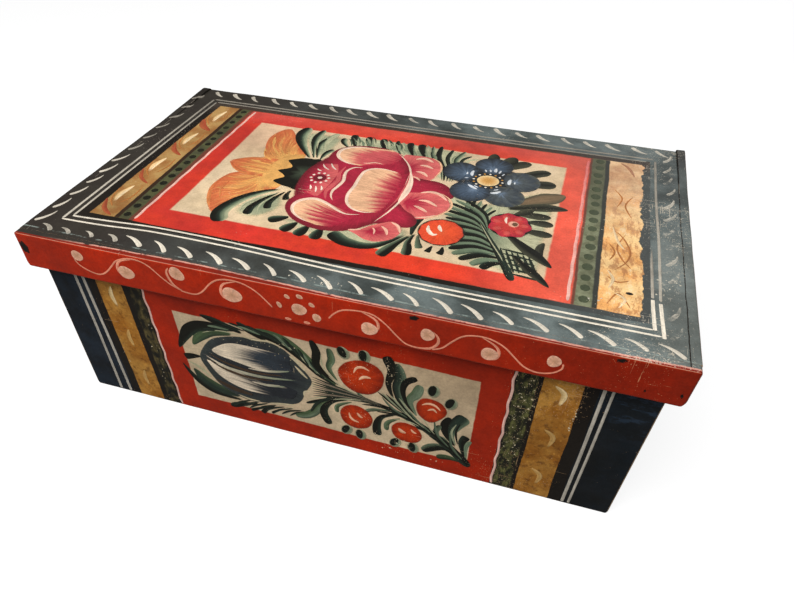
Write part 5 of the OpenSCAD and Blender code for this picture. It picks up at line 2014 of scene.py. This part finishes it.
class PAINTEDBOX_OT_stage(bpy.types.Operator):
    """Sets up the floor, the lamps, the even light and the camera."""
    bl_idname = "painted_box.stage"
    bl_label = "Stage"

    def execute(self, context):
        setup = context.scene.box_stage
        self.floor()
        self.lamp("key", (-0.3, -0.6, 1.15), 0.8, setup.key_power)
        self.lamp("rim", (0.5, 1.3, 0.9), 0.8, setup.rim_power)
        self.world(setup.sky)
        self.camera(setup.focal)
        context.scene.view_settings.view_transform = "Standard"
        return {"FINISHED"}

    def floor(self):
        """White to the eye, but throwing little light back at the box."""
        half = 4.0
        mesh = bpy.data.meshes.new("floor")
        mesh.from_pydata(
            [(-half, -half, 0), (half, -half, 0), (half, half, 0), (-half, half, 0)], [], [(0, 1, 2, 3)])
        made, g, shader = new_material("floor_white")
        glow = g.times(g.node("ShaderNodeLightPath").outputs["Is Camera Ray"], 0.84)
        g.fill(
            shader, Base_Color=(0.2, 0.2, 0.2), Roughness=0.9, Emission_Color=(1, 1, 1),
            Emission_Strength=glow)
        mesh.materials.append(made)
        plane = bpy.data.objects.new("floor", mesh)
        bpy.context.scene.collection.objects.link(plane)

    def lamp(self, name, place, size, power):
        """A soft square lamp that faces the box."""
        light = bpy.data.lights.new(name, "AREA")
        light.size = size
        light.energy = power
        lamp = bpy.data.objects.new(name, light)
        lamp.location = place
        target = (CAD_BOX[0] + CAD_BOX[1]) / 2
        lamp.rotation_euler = (target - Vector(place)).to_track_quat("-Z", "Y").to_euler()
        bpy.context.scene.collection.objects.link(lamp)

    def world(self, strength):
        """Even white light, dimmer in reflections and white behind the box."""
        world = bpy.data.worlds.new("even_light")
        world.use_nodes = True
        g = Graph(world.node_tree)
        back = world.node_tree.nodes["Background"]
        path = g.node("ShaderNodeLightPath").outputs
        dim = g.times(g.minus(1.0, g.times(path["Is Glossy Ray"], 0.5)), strength)
        g.fill(back, Color=(1, 1, 1), Strength=g.math("MAXIMUM", path["Is Camera Ray"], dim))
        bpy.context.scene.world = world

    def camera(self, focal):
        """The photograph's own view: its place, direction and off-centre framing."""
        centre_x = 365.7
        centre_y = 387.1
        data = bpy.data.cameras.new("photo_camera")
        data.sensor_width = 36
        data.lens = focal / PHOTO_WIDTH * data.sensor_width
        data.shift_x = (PHOTO_WIDTH / 2 - centre_x) / PHOTO_WIDTH
        data.shift_y = (centre_y - PHOTO_HEIGHT / 2) / PHOTO_WIDTH
        data.clip_start = 0.01
        eye = bpy.data.objects.new("photo_camera", data)
        eye.location = (0.09253, -0.31612, 0.29100)
        look_down = 46.064
        heading = 17.776
        roll = 0.233
        turn = Euler((math.radians(90 - look_down), 0, math.radians(heading))).to_matrix()
        eye.rotation_euler = (turn @ Matrix.Rotation(math.radians(roll), 3, "Z")).to_euler()
        bpy.context.scene.collection.objects.link(eye)
        bpy.context.scene.camera = eye


STEPS = (
    PAINTEDBOX_OT_box_boards,
    PAINTEDBOX_OT_lid_boards,
    PAINTEDBOX_OT_nails,
    PAINTEDBOX_OT_lid_border,
    PAINTEDBOX_OT_lid_lines,
    PAINTEDBOX_OT_lid_flowers,
    PAINTEDBOX_OT_rail_vine,
    PAINTEDBOX_OT_front_flowers,
    PAINTEDBOX_OT_stage,
)


class PAINTEDBOX_PT_sidebar(bpy.types.Panel):
    """Lists the steps that build the box."""
    bl_idname = "PAINTEDBOX_PT_sidebar"
    bl_label = "Painted Box"
    bl_space_type = "VIEW_3D"
    bl_region_type = "UI"
    bl_category = "Painted Box"

    def draw(self, context):
        for step in STEPS:
            self.layout.operator(step.bl_idname)
        for group in (context.scene.box_colours, context.scene.box_sizes, context.scene.box_stage):
            for key in group.__annotations__:
                self.layout.prop(group, key)


CLASSES = (BoxColours, BoxSizes, BoxStage, *STEPS, PAINTEDBOX_PT_sidebar)


def register():
    for one in CLASSES:
        bpy.utils.register_class(one)
    bpy.types.Scene.box_colours = bpy.props.PointerProperty(type=BoxColours)
    bpy.types.Scene.box_sizes = bpy.props.PointerProperty(type=BoxSizes)
    bpy.types.Scene.box_stage = bpy.props.PointerProperty(type=BoxStage)


def unregister():
    del bpy.types.Scene.box_stage
    del bpy.types.Scene.box_sizes
    del bpy.types.Scene.box_colours
    for one in reversed(CLASSES):
        bpy.utils.unregister_class(one)


def main():
    register()
    for step in STEPS:
        group, name = step.bl_idname.split(".")
        getattr(getattr(bpy.ops, group), name)()


if __name__ == "__main__":
    main()
